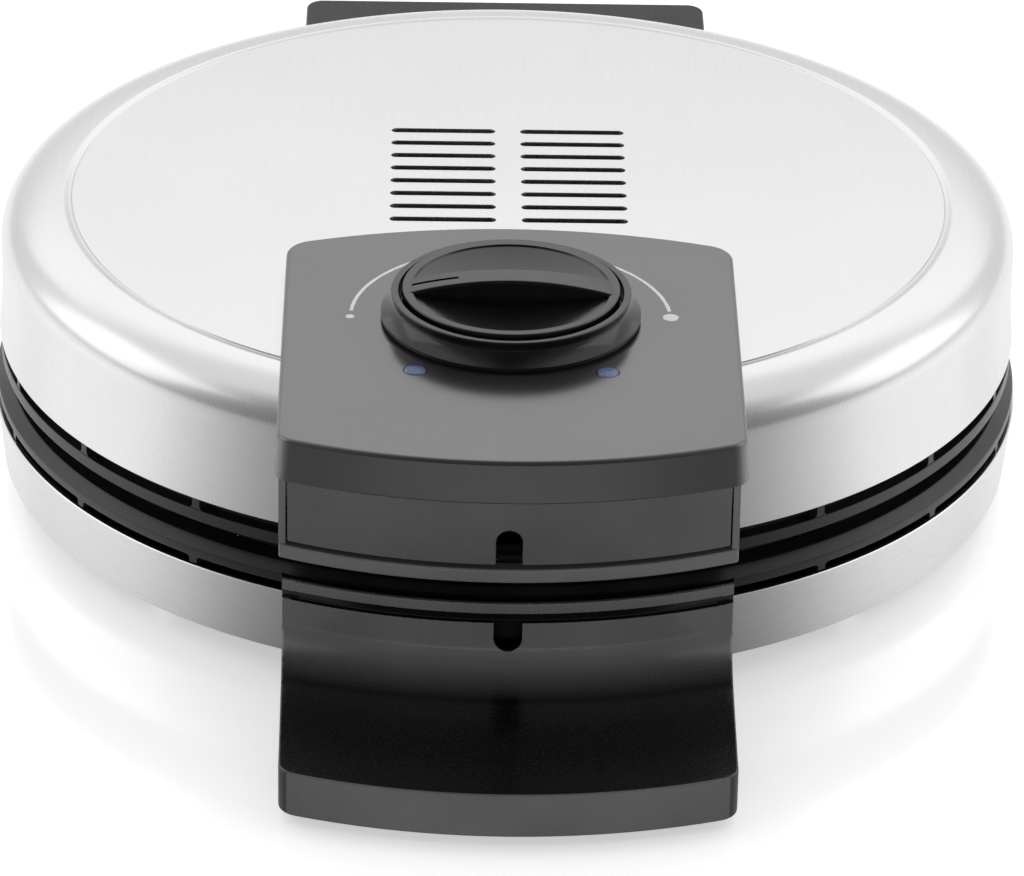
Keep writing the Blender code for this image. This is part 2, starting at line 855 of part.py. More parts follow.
def heater(name):
    """Bent tubular heating element under a plate, with both tails to the rear."""
    gap = math.asin(heater_tail_spread / heater_radius)
    ring = arc((0, 0), heater_radius, math.pi / 2 + gap, math.pi / 2 - gap + math.tau, heater_steps)
    line = [(-heater_tail_spread, heater_tail_reach)] + ring + [(heater_tail_spread, heater_tail_reach)]
    return tube(name, [(x, y, lower_heater_height) for x, y in line], heater_tube)


def reflector(name, radius, ported):
    """Sheet disc behind a heater, with holes for the plate's screws."""
    profile = [
        (0, lower_reflector_bottom), (radius, lower_reflector_bottom),
        (radius, lower_reflector_top + reflector_rim),
        (radius - reflector_sheet, lower_reflector_top + reflector_rim),
        (radius - reflector_sheet, lower_reflector_top), (0, lower_reflector_top)]
    disc = turned(name, profile, inner_sides)
    low = lower_reflector_bottom - overrun
    high = lower_reflector_top + overrun
    cuts = [rod("hole", screw_bore, (x, y, low), (x, y, high)) for x, y in plate_screw_places()]
    if ported:
        cuts.append(block("port", -wire_port_half_width, wire_port_half_width, heater_tail_reach - overrun,
                          heater_tail_reach + wire_port_depth, low, high))
    return shaped(disc, joined("cuts", cuts))


def handle_front_at(across):
    """Front edge of the base handle at a place across."""
    corner_across = handle_half_width - handle_corner
    inner_bow = handle_bow - handle_corner
    meeting = corner_across * handle_bow / inner_bow
    if abs(across) <= meeting:
        return handle_centre - math.sqrt(handle_bow ** 2 - across ** 2)
    corner_along = handle_centre - math.sqrt(inner_bow ** 2 - corner_across ** 2)
    return corner_along - math.sqrt(max(0, handle_corner ** 2 - (abs(across) - corner_across) ** 2))


def handle_section(across):
    """Section of the base handle in a plane across the body, back to front and round."""
    inside = max(0, abs(across) - handle_half_width + handle_edge)
    drop = handle_edge - math.sqrt(handle_edge ** 2 - inside ** 2)
    back = front_of(base_inner_wall, across)
    wall = front_of(wall_radius, across)
    lip = front_of(lip_radius, across)
    groove = wall + base_groove_depth
    front = handle_front_at(across)
    points = [
        (back, cover_bottom), (back, base_lip_top - drop), (lip + base_lip_chamfer, base_lip_top - drop),
        (lip, base_lip_top - base_lip_chamfer - drop), (lip, base_lip_bottom), (groove, base_lip_bottom),
        (groove, base_groove_bottom), (wall, base_groove_bottom)]
    for step in range(trough_steps + 1):
        angle = math.pi / 2 * step / trough_steps
        points.append((wall - trough_reach * (1 - math.cos(angle)),
                       trough_top - trough_depth * math.sin(angle) - drop))
    points.append((front + handle_lip_slope, handle_top - drop))
    for step in range(corner_steps + 1):
        angle = math.pi / 2 * step / corner_steps
        points.append((front + handle_edge * (1 - math.sin(angle)),
                       handle_top - handle_edge * (1 - math.cos(angle)) - drop))
    points.append((front, handle_ground_gap + handle_bottom_chamfer))
    points.append((front + handle_bottom_chamfer, handle_ground_gap))
    return [(across, along, up) for along, up in points]


def base_handle():
    """Black plastic handle of the base: lip, wall, trough and front lip, hollow underneath."""
    flat = handle_half_width - handle_corner
    stations = [flat * step / (bow_steps / 2) for step in range(bow_steps // 2 + 1)]
    for step in range(1, corner_steps + 1):
        stations.append(flat + handle_corner * math.sin(math.pi / 2 * step / corner_steps))
    stations = [-x for x in reversed(stations[1:])] + stations
    handle = lofted("base_handle", [handle_section(x) for x in stations])
    root = front_of(wall_radius, handle_half_width)
    for vert in handle.data.vertices:
        share = min(1, (vert.co.y - handle_front) / (root - handle_front))
        vert.co.x *= 1 + share * handle_flare / handle_half_width
    front = bowed_end(handle_half_width - handle_wall, handle_centre, handle_bow - handle_wall,
                      handle_corner - handle_wall, -1)
    far = wall_radius + handle_wall
    limit = math.asin((handle_half_width - handle_wall) / far)
    back = arc((0, 0), far, 1.5 * math.pi - limit, 1.5 * math.pi + limit, bow_steps)
    pocket = prism("pocket", front + back, -overrun, trough_floor - handle_wall)
    for x in (-1, 0, 1):
        middle = x * (handle_half_width - handle_wall) / 2
        rib = block("rib", middle - pocket_rib / 2, middle + pocket_rib / 2, handle_front,
                    -housing_radius, -2 * overrun, handle_top)
        pocket = shaped(pocket, rib)
    handle = shaped(handle, pocket)
    slot = prism("slot", arch_outline(base_slot_width / 2, trough_top - base_slot_drop,
                                      base_groove_bottom, -1),
                 -wall_radius - trough_reach / 2, -housing_radius, "Y")
    return shaped(shaped(handle, slot), housing_bores("base"))


def knuckle_outline(flat_end):
    """Side view of a hinge knuckle: round at its axis and square at the end that joins its block."""
    way = 1 if flat_end > parting else -1
    turn = arc((0, 0), knuckle_radius, math.pi, math.tau, 3 * corner_steps)
    rounded = [(hinge_axis_y + along, parting + way * up) for along, up in turn]
    return [(hinge_axis_y - knuckle_radius, flat_end)] + rounded + [(hinge_back, flat_end)]


def hinge_plan(grow):
    """Both hinge blocks seen from above, before they are fitted to the body."""
    half = hinge_half_width + grow
    corner = hinge_corner + grow
    back = hinge_back + grow
    right = arc((half - corner, back - corner), corner, 0, math.pi / 2, corner_steps)
    left = [(-x, y) for x, y in reversed(right)]
    return right + left + [(-half, disc_radius), (half, disc_radius)]


def hinge_base():
    """Hinge block of the base, with two ears, the terminal space and the inlet's hole."""
    piece = prism("hinge_base", hinge_plan(0), cover_bottom, base_edge)
    body = turned("body", [(0, -overrun), (base_inner_wall, -overrun),
                           (base_inner_wall, disc_height), (0, disc_height)])
    piece = shaped(piece, body)
    inner = hinge_half_width - ear_width
    for side in (-1, 1):
        low, high = sorted((side * inner, side * hinge_half_width))
        ear = prism("ear", knuckle_outline(base_edge - knuckle_radius), low, high, "X")
        trim = prism("trim", hinge_plan(0), cover_bottom, disc_height)
        piece = shaped(piece, shaped(ear, trim, "INTERSECT"), "UNION")
        far = side * (hinge_half_width - ear_cap)
        bore = rod("bore", pin_radius + clearance, (side * (inner - overrun), hinge_axis_y, parting),
                   (far, hinge_axis_y, parting), small_sides)
        piece = shaped(piece, bore)
    room = block("room", -hinge_lid_port_half_width, hinge_lid_port_half_width, disc_radius,
                 hinge_back - hinge_wall, cover_bottom + hinge_wall, base_edge - hinge_wall)
    piece = shaped(piece, room)
    inner = (inlet_offset, hinge_back - hinge_wall - overrun, inlet_height())
    outer = (inlet_offset, hinge_back + overrun, inlet_height())
    hole = rod("hole", inlet_radius + clearance, inner, outer, small_sides)
    return shaped(shaped(piece, hole), housing_bores("base"))


def inlet_height():
    """Height of the mains inlet's axis."""
    return cover_bottom + inlet_rise


def hinge_lid():
    """Hinge block of the lid, with the knuckle that turns between the base's ears."""
    foot_of_block = parting + knuckle_radius + ear_headroom
    loops = []
    heights = [(foot_of_block, 0)]
    for step in range(corner_steps + 1):
        angle = math.pi / 2 * step / corner_steps
        heights.append((hinge_top - hinge_edge * (1 - math.sin(angle)), -hinge_edge * (1 - math.cos(angle))))
    for height, grow in heights:
        loops.append([(x, y, height) for x, y in hinge_plan(grow)])
    piece = lofted("hinge_lid", loops)
    knuckle = prism("knuckle", knuckle_outline(foot_of_block + ear_headroom),
                    -knuckle_half_width, knuckle_half_width, "X")
    piece = shaped(piece, knuckle, "UNION")
    piece = shaped(piece, lid_envelope())
    port = block("port", -hinge_lid_port_half_width, hinge_lid_port_half_width, disc_radius,
                 hinge_back - hinge_wall, lid_edge + hinge_lid_port_base, hinge_top - hinge_wall)
    piece = shaped(piece, port)
    for side in (-1, 1):
        bore = rod("bore", pin_radius + clearance,
                   (side * (knuckle_half_width + overrun), hinge_axis_y, parting),
                   (side * (knuckle_half_width - pin_reach - clearance), hinge_axis_y, parting), small_sides)
        piece = shaped(piece, bore)
    return shaped(piece, housing_bores("lid"))


def hinge_pin(name, side):
    """Steel pin from an ear of the base into the lid's knuckle."""
    start = side * (knuckle_half_width - pin_reach)
    end = side * (hinge_half_width - ear_cap - clearance)
    return rod(name, pin_radius, (start, hinge_axis_y, parting), (end, hinge_axis_y, parting), small_sides)


def cable_inlet():
    """Bush in the rear of the hinge block, where a mains lead would enter."""
    lip_face = hinge_back + clearance
    profile = [
        (inlet_bore, 0), (inlet_radius, 0), (inlet_radius, hinge_wall + clearance),
        (inlet_radius + inlet_lip_width, hinge_wall + clearance),
        (inlet_radius + inlet_lip_width, hinge_wall + clearance + inlet_lip),
        (inlet_bore, hinge_wall + clearance + inlet_lip)]
    bush = turned("cable_inlet", profile, small_sides)
    bush.data.transform(Matrix.Rotation(-math.pi / 2, 4, "X"))
    return moved(bush, inlet_offset, lip_face - hinge_wall - clearance, inlet_height())


def terminal_block():
    """Insulating block that joins the mains lead to the wires inside."""
    bottom = cover_bottom + hinge_wall + clearance
    back = hinge_back - hinge_wall - clearance
    piece = block("terminal_block", terminal_left, terminal_right, back - terminal_depth, back,
                  bottom, bottom + terminal_height)
    holes = []
    for share in (1, 3, 5):
        x = terminal_left + (terminal_right - terminal_left) * share / 6
        top = bottom + terminal_height
        y = back - terminal_depth / 2
        holes.append(rod("hole", terminal_screw_radius, (x, y, top - terminal_screw_depth),
                         (x, y, top + overrun)))
    return shaped(piece, joined("holes", holes))


def base_wires():
    """Two sleeved wires from the terminal block to the tails of the lower heater."""
    start = hinge_back - hinge_wall - clearance - terminal_depth - clearance
    height = cover_bottom + hinge_wall + clearance + terminal_height * 2 / 3
    wires = []
    for name, side in (("base_wire_left", -1), ("base_wire_right", 1)):
        line = [
            (side * wire_spread, start, height),
            (side * wire_spread, skirt_radius, height),
            (side * wire_spread, boss_distance, lower_heater_height),
            (side * heater_tail_spread, ledge_radius, lower_heater_height),
            (side * heater_tail_spread, heater_tail_reach + clearance, lower_heater_height)]
        wires.append(tube(name, line, wire_radius))
    return wires


def lid_shell():
    """Brushed steel lid: shoulder, flat disc with vents, open where the panel sits."""
    rim = disc_radius + disc_groove_width
    outer = [point for point in lid_outside(0) if point[0] > rim]
    groove = [(rim, disc_height), (disc_radius + disc_groove_step, disc_height - disc_groove_depth),
              (disc_radius, disc_height)]
    inner = [(0, disc_height - sheet)] + list(reversed(lid_outside(-sheet, inner_shoulder_steps)))
    shell = turned("lid_shell", outer + groove + [(0, disc_height)] + inner)
    cuts = []
    for x in (-vent_column, vent_column):
        for row in range(vent_rows):
            y = vent_middle + (row - (vent_rows - 1) / 2) * vent_pitch
            cuts.append(prism("vent", slot_outline(x, y, vent_length, vent_width),
                              disc_height - sheet - overrun, disc_height + overrun))
    half = panel_half_width - panel_port_inset
    cuts.append(block("port", -half, half, -housing_radius - overrun, panel_back - panel_port_inset,
                      lid_edge - overrun, disc_height + overrun))
    cuts.append(block("wire_port", -wire_port_half_width, wire_port_half_width,
                      disc_radius, housing_radius + overrun, lid_skirt_top - overrun, shoulder_base - sheet))
    shell = shaped(shell, joined("cuts", cuts))
    return shaped(shell, housing_bores("lid"))


def control_panel():
    """Satin plastic panel on the lid, which overhangs the front as the lid's grip."""
    loops = [[(x, y, panel_foot) for x, y in panel_outline(panel_draft)]]
    for step in range(corner_steps + 1):
        angle = math.pi / 2 * step / corner_steps
        height = panel_top - panel_edge * (1 - math.sin(angle))
        loops.append([(x, y, height) for x, y in panel_outline(-panel_edge * (1 - math.cos(angle)))])
    panel = lofted("control_panel", loops)
    hollow = prism("hollow", panel_outline(-panel_wall), panel_foot - overrun, panel_ceiling)
    panel = shaped(panel, hollow)
    cover_top_height = panel_foot + grip_cover_thickness
    bosses = [rod("boss", panel_boss_radius, (x, y, cover_top_height + clearance),
                  (x, y, panel_ceiling + panel_wall / 2)) for x, y in grip_screw_places()]
    panel = shaped(panel, joined("bosses", bosses), "UNION")
    panel = shaped(panel, lid_envelope())
    holes = [rod("hole", screw_bore, (x, y, panel_foot), (x, y, panel_ceiling))
             for x, y in grip_screw_places()]
    below = panel_ceiling - overrun
    above = panel_top + overrun
    holes.append(rod("hole", shaft_radius + clearance + clearance, (0, knob_place, below),
                     (0, knob_place, above), small_sides))
    for side in (-1, 1):
        x = side * lamp_spread
        holes.append(rod("hole", lens_radius + clearance, (x, lamp_place, below),
                         (x, lamp_place, above), small_sides))
    return shaped(panel, joined("holes", holes))


def grip_screw_places():
    """The two screws that hold the grip cover."""
    return [(side * panel_boss_spread, panel_front + panel_boss_inset) for side in (-1, 1)]


def grip_cover():
    """Flat plastic cover that closes the panel's overhang from below."""
    cover = prism("grip_cover", panel_outline(-panel_wall - clearance), panel_foot,
                  panel_foot + grip_cover_thickness)
    behind = block("behind", -housing_radius, housing_radius, -wall_radius + grip_cover_overlap,
                   housing_radius, panel_foot - overrun, panel_top)
    cover = shaped(cover, behind)
    cover = shaped(cover, lid_envelope())
    holes = [rod("hole", screw_bore, (x, y, panel_foot - overrun), (x, y, panel_top))
             for x, y in grip_screw_places()]
    return shaped(cover, joined("holes", holes))


def grip_screws():
    """The two screws under the grip."""
    start = panel_foot - clearance - screw_head_height
    end = panel_ceiling - clearance
    return screws("grip_screw", [((x, y, start), (x, y, end)) for x, y in grip_screw_places()])


def base_cover_screws():
    """The four screws that hold the base cover to the trim ring's bosses."""
    start = cover_bottom - clearance - screw_head_height
    end = skirt_bottom + boss_bore_depth - clearance
    return screws("base_cover_screw", [((x, y, start), (x, y, end)) for x, y in boss_places()])


def front_wall():
    """Curved wall insert under the panel, with its slot and two screw bosses inside."""
    bottom = upper_band_top + clearance
    outline = band_outline(lid_inner_wall, wall_radius, -insert_half_width, insert_half_width)
    wall = prism("front_wall", outline, bottom, panel_foot - clearance)
    middle = (lid_inner_wall + wall_radius) / 2
    bosses = []
    for start, end in housing_screw_runs("lid")[2:]:
        heading = Vector((end[0], end[1], 0)).normalized()
        inner = heading * (skirt_radius + clearance)
        outer = heading * middle
        bosses.append(rod("boss", wall_boss_radius, (inner.x, inner.y, start[2]),
                          (outer.x, outer.y, start[2])))
    wall = shaped(wall, joined("bosses", bosses), "UNION")
    arch = arch_outline(wall_slot_width / 2, bottom - overrun, lid_edge + wall_slot_rise, 1)
    slot = prism("slot", arch, -wall_radius - overrun, -housing_radius + overrun, "Y")
    return shaped(shaped(wall, slot), housing_bores("lid"))


def handle_frame():
    """Plastic frame round the front wall: a lip below it and a cheek at each side."""
    loops = []
    for height, inset in ((upper_band_bottom, lip_chamfer), (upper_band_bottom + lip_chamfer, 0),
                          (upper_band_top - lip_chamfer, 0), (upper_band_top, lip_chamfer)):
        half = frame_half_width - inset
        outline = band_outline(lid_inner_wall, lip_radius - inset, -half, half)
        loops.append([(x, y, height) for x, y in outline])
    frame = lofted("handle_frame", loops)
    for side in (-1, 1):
        left, right = sorted((side * (frame_half_width - cheek), side * frame_half_width))
        outline = band_outline(lid_inner_wall, lip_radius - cheek_set_back, left, right)
        outline = [outline[0], outline[bow_steps], outline[bow_steps + 1], outline[-1]]
        side_plate = prism("cheek", outline, upper_band_top - upper_band_height / 2,
                           panel_foot - clearance)
        frame = shaped(frame, side_plate, "UNION")
    return frame


def thermostat_body():
    """Thermostat under the panel, with a threaded neck round its shaft."""
    top = panel_ceiling - thermostat_drop
    half = thermostat_width / 2
    body = block("thermostat_body", -half, half, knob_place - thermostat_depth / 2,
                 knob_place + thermostat_depth / 2, top - thermostat_height, top)
    neck = rod("neck", thermostat_neck, (0, knob_place, top - thermostat_bore_depth),
               (0, knob_place, panel_ceiling - clearance), small_sides)
    bore = rod("bore", shaft_radius + clearance, (0, knob_place, top - thermostat_bore_depth),
               (0, knob_place, panel_top), small_sides)
    return shaped(shaped(body, neck, "UNION"), bore)


def thermostat_shaft():
    """Shaft that the knob turns."""
    low = panel_ceiling - thermostat_drop - thermostat_bore_depth + clearance
    return rod("thermostat_shaft", shaft_radius, (0, knob_place, low),
               (0, knob_place, cap_base + shaft_insert), small_sides)


def safety_cutout():
    """Thermal cut-out clipped on the upper reflector."""
    base = upper(lower_reflector_bottom) + clearance
    return rod("safety_cutout", cutout_radius, (cutout_across, cutout_back, base),
               (cutout_across, cutout_back, base + cutout_height), small_sides)


def lid_wires():
    """Wires on the upper reflector: to the thermostat, and from the cut-out to the heater."""
    height = upper(lower_reflector_bottom) + clearance + wire_radius
    high = lid_skirt_top + wire_radius + clearance
    thermostat_back = knob_place + thermostat_depth / 2 + clearance
    into = panel_ceiling - thermostat_drop - thermostat_height / 2
    supply = [
        (-wire_spread, hinge_back - hinge_wall - clearance, high),
        (-wire_spread, skirt_radius, high),
        (-wire_spread, ledge_radius, height),
        (-heater_tail_spread, heater_radius, height),
        (-heater_tail_spread, knob_place + thermostat_width + thermostat_width / 2, height),
        (-wire_spread, thermostat_back + thermostat_bore_depth, into),
        (-wire_spread, thermostat_back, into)]
    tail = upper(lower_heater_height)
    across = heater_tail_spread
    back = heater_tail_reach + clearance
    bend = wire_radius + wire_radius
    feed = [
        (across, back, tail), (across, back + bend, tail), (across, back + bend + bend, tail + bend),
        (across, back + bend + bend, height), (across, back + bend, height + bend),
        (across, back, height + bend), (across, back - bend, height),
        (cutout_across, cutout_back + cutout_radius + bend, height),
        (cutout_across, cutout_back + cutout_radius + clearance, height)]
    return [tube("lid_supply_wire", supply, wire_radius), tube("lid_heater_wire", feed, wire_radius)]


def lamp_lens(name, side):
    """Small clear lens set in the panel, with a flange behind it."""
    back = panel_ceiling - clearance
    profile = [
        (0, back - lens_flange_height), (lens_flange, back - lens_flange_height),
        (lens_flange, back), (lens_radius, back), (lens_radius, panel_top),
        (lens_radius - lens_proud, panel_top + lens_proud), (0, panel_top + lens_proud)]
    return moved(turned(name, profile, small_sides), side * lamp_spread, lamp_place, 0)


def lamp(name, side):
    """Neon lamp behind a lens."""
    top = panel_ceiling - clearance - lens_flange_height - clearance
    profile = [
        (0, top - lamp_height), (lamp_radius - lens_flange_height, top - lamp_height),
        (lamp_radius, top - lamp_height + lens_flange_height), (lamp_radius, top), (0, top)]
    return moved(turned(name, profile, screw_sides), side * lamp_spread, lamp_place, 0)


def knob_skirt():
    """Outer part of the knob: flange, hollowed side and rim."""
    side_top = knob_rim_height - knob_edge
    flange_top = knob_base + knob_flange_height
    bore = shaft_radius + clearance
    profile = [(bore, knob_base), (knob_flange_radius - knob_edge, knob_base),
               (knob_flange_radius, knob_base + knob_edge), (knob_flange_radius, flange_top)]
    for step in range(1, corner_steps + 1):
        share = step / corner_steps
        straight = knob_flange_radius + (knob_rim_radius - knob_flange_radius) * share
        hollow = knob_waist * math.sin(math.pi * math.sqrt(share))
        profile.append((straight - hollow, flange_top + (side_top - flange_top) * share))
    profile += [
        (knob_rim_radius - knob_edge, knob_rim_height),
        (knob_groove_radius + knob_edge, knob_rim_height),
        (knob_groove_radius, side_top), (knob_groove_radius, knob_base + knob_floor),
        (bore, knob_base + knob_floor)]
    return moved(turned("knob_skirt", profile, knob_sides), 0, knob_place, 0)


def knob_cap():
    """Inner part of the knob: ring, dished top and arched grip bar with its pointer."""
    inner = cap_radius - cap_ring_width
    bore = shaft_radius + clearance
    bore_top = cap_base + shaft_insert + clearance
    profile = [
        (0, bore_top), (bore, bore_top), (bore, cap_base), (cap_radius, cap_base),
        (cap_radius, cap_ring_height - cap_bevel), (cap_radius - cap_bevel, cap_ring_height),
        (inner + cap_bevel, cap_ring_height), (inner, cap_ring_height - cap_bevel),
        (inner - cap_dish / 2, cap_dish_height + cap_bevel), (inner - cap_dish, cap_dish_height),
        (0, cap_dish_height - cap_bevel)]
    cap = turned("knob_cap", profile, knob_sides)
    loops = []
    for step in range(-bow_steps // 2, bow_steps // 2 + 1):
        share = step / (bow_steps / 2)
        half = (bar_waist_width + (bar_end_width - bar_waist_width) * share ** 2) / 2
        top = cap_ring_height + bar_arch * (1 - share ** 2)
        low = cap_dish_height - cap_bevel - cap_bevel
        x = bar_half_length * share
        loops.append([
            (x, -half, low), (x, half, low), (x, half, top - bar_edge), (x, half - bar_edge, top),
            (x, bar_edge - half, top), (x, -half, top - bar_edge)])
    cap = shaped(cap, lofted("bar", loops), "UNION")
    groove = []
    for step in range(corner_steps + 1):
        x = -pointer_end + (pointer_end - pointer_start) * step / corner_steps
        floor = cap_ring_height + bar_arch * (1 - (x / bar_half_length) ** 2) - pointer_depth
        half = pointer_width / 2
        top = floor + overrun
        groove.append([(x, -half, floor), (x, half, floor), (x, half, top), (x, -half, top)])
    cap = shaped(cap, lofted("groove", groove))
    return moved(cap, 0, knob_place, 0)


def carrier(name, place, parent=None):
    """An empty that carries pieces, at a place in the body's own frame."""
    holder = bpy.data.objects.new(name, None)
    holder.empty_display_size = knuckle_radius
    holder.parent = parent
    holder["place"] = place
    holder.location = Vector(place) - (Vector(parent["place"]) if parent else Vector())
    bpy.context.scene.collection.objects.link(holder)
    return holder


def carried(holder, material, pieces, smooth=True):
    """Hang finished pieces on their carrier, with its place as their origin."""
    for piece in pieces:
        piece.data.transform(Matrix.Translation(-Vector(holder["place"])))
        piece.parent = holder
        piece.data.materials.clear()
        piece.data.materials.append(material)
        if smooth:
            piece.data.shade_smooth()
            piece.data.set_sharp_from_angle(angle=math.radians(30))


for old in list(bpy.data.objects):
    bpy.data.objects.remove(old)

brushed_steel = finish("brushed_steel", (0.72, 0.72, 0.73), 0.32, 1.0)
plain_steel = finish("plain_steel", (0.6, 0.6, 0.6), 0.4, 1.0)
bright_sheet = finish("bright_sheet", (0.75, 0.75, 0.74), 0.35, 1.0)
coated_plate = finish("coated_plate", (0.035, 0.034, 0.036), 0.45)
satin_panel = finish("satin_panel", (0.13, 0.13, 0.135), 0.38)
dark_plastic = finish("dark_plastic", (0.045, 0.045, 0.048), 0.45)
trim_plastic = finish("trim_plastic", (0.02, 0.02, 0.022), 0.4)
knob_plastic = finish("knob_plastic", (0.03, 0.03, 0.032), 0.3)
lens_clear = finish("lens_clear", (0.18, 0.24, 0.38), 0.15)
rubber = finish("rubber", (0.03, 0.03, 0.03), 0.8)
insulator = finish("insulator", (0.75, 0.72, 0.64), 0.6)
heater_steel = finish("heater_steel", (0.3, 0.28, 0.26), 0.5, 1.0)
wire_sleeve = finish("wire_sleeve", (0.62, 0.6, 0.55), 0.7)

body = carrier("body", (0, 0, 0))
body.location.y = middle_shift
lid_axis = carrier("lid_axis", (0, hinge_axis_y, parting), body)
knob_axis = carrier("knob_axis", (0, knob_place, panel_top), lid_axis)

front_foot_x = front_foot_distance * math.sin(front_foot_angle)
front_foot_y = -front_foot_distance * math.cos(front_foot_angle)
rear_foot_y = hinge_back - rear_foot_inset

carried(body, brushed_steel, [base_shell()])
carried(body, trim_plastic, [base_trim_ring()])
carried(body, dark_plastic, [base_handle(), base_cover(), hinge_base()])
carried(body, rubber, [
    foot("foot_front_left", -front_foot_x, front_foot_y),
    foot("foot_front_right", front_foot_x, front_foot_y),
    foot("foot_rear_left", -rear_foot_spread, rear_foot_y),
    foot("foot_rear_right", rear_foot_spread, rear_foot_y),
    cable_inlet()])
carried(body, coated_plate, [plate("lower_plate")])
carried(body, heater_steel, [heater("lower_heater")])
carried(body, bright_sheet, [reflector("lower_reflector", reflector_radius, False)])
carried(body, plain_steel, [hinge_pin("hinge_pin_left", -1), hinge_pin("hinge_pin_right", 1)])
carried(body, plain_steel, base_cover_screws())
carried(body, plain_steel, plate_screws("lower_plate_screw"))
carried(body, plain_steel, screws("base_housing_screw", housing_screw_runs("base")))
carried(body, insulator, [terminal_block()])
carried(body, wire_sleeve, base_wires())

carried(lid_axis, brushed_steel, [lid_shell()])
carried(lid_axis, trim_plastic, [lid_trim_ring()])
carried(lid_axis, satin_panel, [control_panel()])
carried(lid_axis, dark_plastic, [front_wall(), handle_frame(), grip_cover(), hinge_lid()])
carried(lid_axis, coated_plate, [mirrored(plate("upper_plate"))])
carried(lid_axis, heater_steel, [mirrored(heater("upper_heater"))])
carried(lid_axis, bright_sheet, [mirrored(reflector("upper_reflector", lid_reflector_radius, True))])
carried(lid_axis, plain_steel, [mirrored(piece) for piece in plate_screws("upper_plate_screw")])
carried(lid_axis, plain_steel, grip_screws())
carried(lid_axis, plain_steel, screws("lid_housing_screw", housing_screw_runs("lid")))
carried(lid_axis, insulator, [thermostat_body(), safety_cutout()])
carried(lid_axis, lens_clear, [lamp_lens("lamp_lens_left", -1), lamp_lens("lamp_lens_right", 1)])
carried(lid_axis, insulator, [lamp("lamp_left", -1), lamp("lamp_right", 1)])
carried(lid_axis, wire_sleeve, lid_wires())

carried(knob_axis, knob_plastic, [knob_skirt(), knob_cap()])
carried(knob_axis, plain_steel, [thermostat_shaft()])
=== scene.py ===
"""A round waffle maker with a steel base, a hinged steel lid and black plastic fittings."""

import math

import bmesh
import bpy
from mathutils import Matrix, Vector


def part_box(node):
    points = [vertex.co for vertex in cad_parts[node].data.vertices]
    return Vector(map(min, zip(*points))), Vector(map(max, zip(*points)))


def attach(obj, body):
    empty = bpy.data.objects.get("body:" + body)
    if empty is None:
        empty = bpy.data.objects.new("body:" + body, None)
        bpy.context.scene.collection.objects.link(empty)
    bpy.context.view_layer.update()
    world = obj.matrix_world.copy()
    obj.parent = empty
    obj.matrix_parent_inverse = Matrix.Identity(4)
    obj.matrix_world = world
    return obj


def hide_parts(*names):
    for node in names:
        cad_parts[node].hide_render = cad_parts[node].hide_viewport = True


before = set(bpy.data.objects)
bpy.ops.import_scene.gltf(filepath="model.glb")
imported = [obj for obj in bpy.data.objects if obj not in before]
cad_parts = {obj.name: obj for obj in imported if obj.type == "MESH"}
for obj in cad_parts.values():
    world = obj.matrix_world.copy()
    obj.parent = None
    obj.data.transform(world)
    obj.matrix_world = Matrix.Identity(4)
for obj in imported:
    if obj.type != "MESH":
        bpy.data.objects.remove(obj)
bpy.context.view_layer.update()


# The camera stands low in front of the handle, far back with a long lens, so the
# object fills the picture with hardly any perspective.
camera_place = (-0.018, -1.34, 0.69931)
camera_pitch = math.radians(63.0357)
camera_yaw = math.radians(-0.8347)
camera_roll = math.radians(1.0684)
camera_lens = 228.93

camera_data = bpy.data.cameras.new("camera")
camera_data.lens = camera_lens
camera_data.sensor_width = 36
camera_data.clip_end = 50
camera = bpy.data.objects.new("camera", camera_data)
camera.matrix_world = (
    Matrix.Translation(camera_place) @ Matrix.Rotation(camera_yaw, 4, "Z")
    @ Matrix.Rotation(camera_pitch, 4, "X") @ Matrix.Rotation(camera_roll, 4, "Z"))
bpy.context.scene.collection.objects.link(camera)
bpy.context.scene.camera = camera
bpy.context.scene.view_settings.view_transform = "Standard"


# The floor is a white glossy sheet that keeps a soft shadow and a faint reflection. A
# little light of its own takes it to white for the camera; in reflections its colour and
# glow carry painted shade, darker before the object's front corners, where the room is dark.
floor_reach = 6
floor_colour = (0.95, 0.95, 0.95, 1)
floor_glow = 0.46
floor_painted_shade = ((-1, 0.5), (-0.8, 0.28), (-0.08, 1))
floor_painted_shade_middle = (0, -0.036, 0)
floor_reflected_glow = 0.36
floor_roughness = 0.13


def node(tree, kind, inputs=None, **settings):
    """A shader node with its settings and inputs, some of them linked."""
    made = tree.nodes.new("ShaderNode" + kind)
    for setting, value in settings.items():
        setattr(made, setting, value)
    for socket, value in (inputs or {}).items():
        if isinstance(value, bpy.types.NodeSocket):
            tree.links.new(value, made.inputs[socket])
        else:
            made.inputs[socket].default_value = value
    return made


def new_material(name, roughness, metallic=0.0, **sockets):
    """A material with the values that are the same all over it on its shader's own sockets."""
    made = bpy.data.materials.new(name)
    made.use_nodes = True
    shader = made.node_tree.nodes["Principled BSDF"]
    shader.inputs["Roughness"].default_value = roughness
    shader.inputs["Metallic"].default_value = metallic
    for socket, value in sockets.items():
        shader.inputs[socket.replace("_", " ")].default_value = value
    return made, made.node_tree, shader


def between(tree, factor, low, high, start=0.3, end=0.7):
    """Numbers between two limits, along a factor."""
    return node(tree, "MapRange", {"Value": factor, "From Min": start, "From Max": end,
                                   "To Min": low, "To Max": high}).outputs[0]


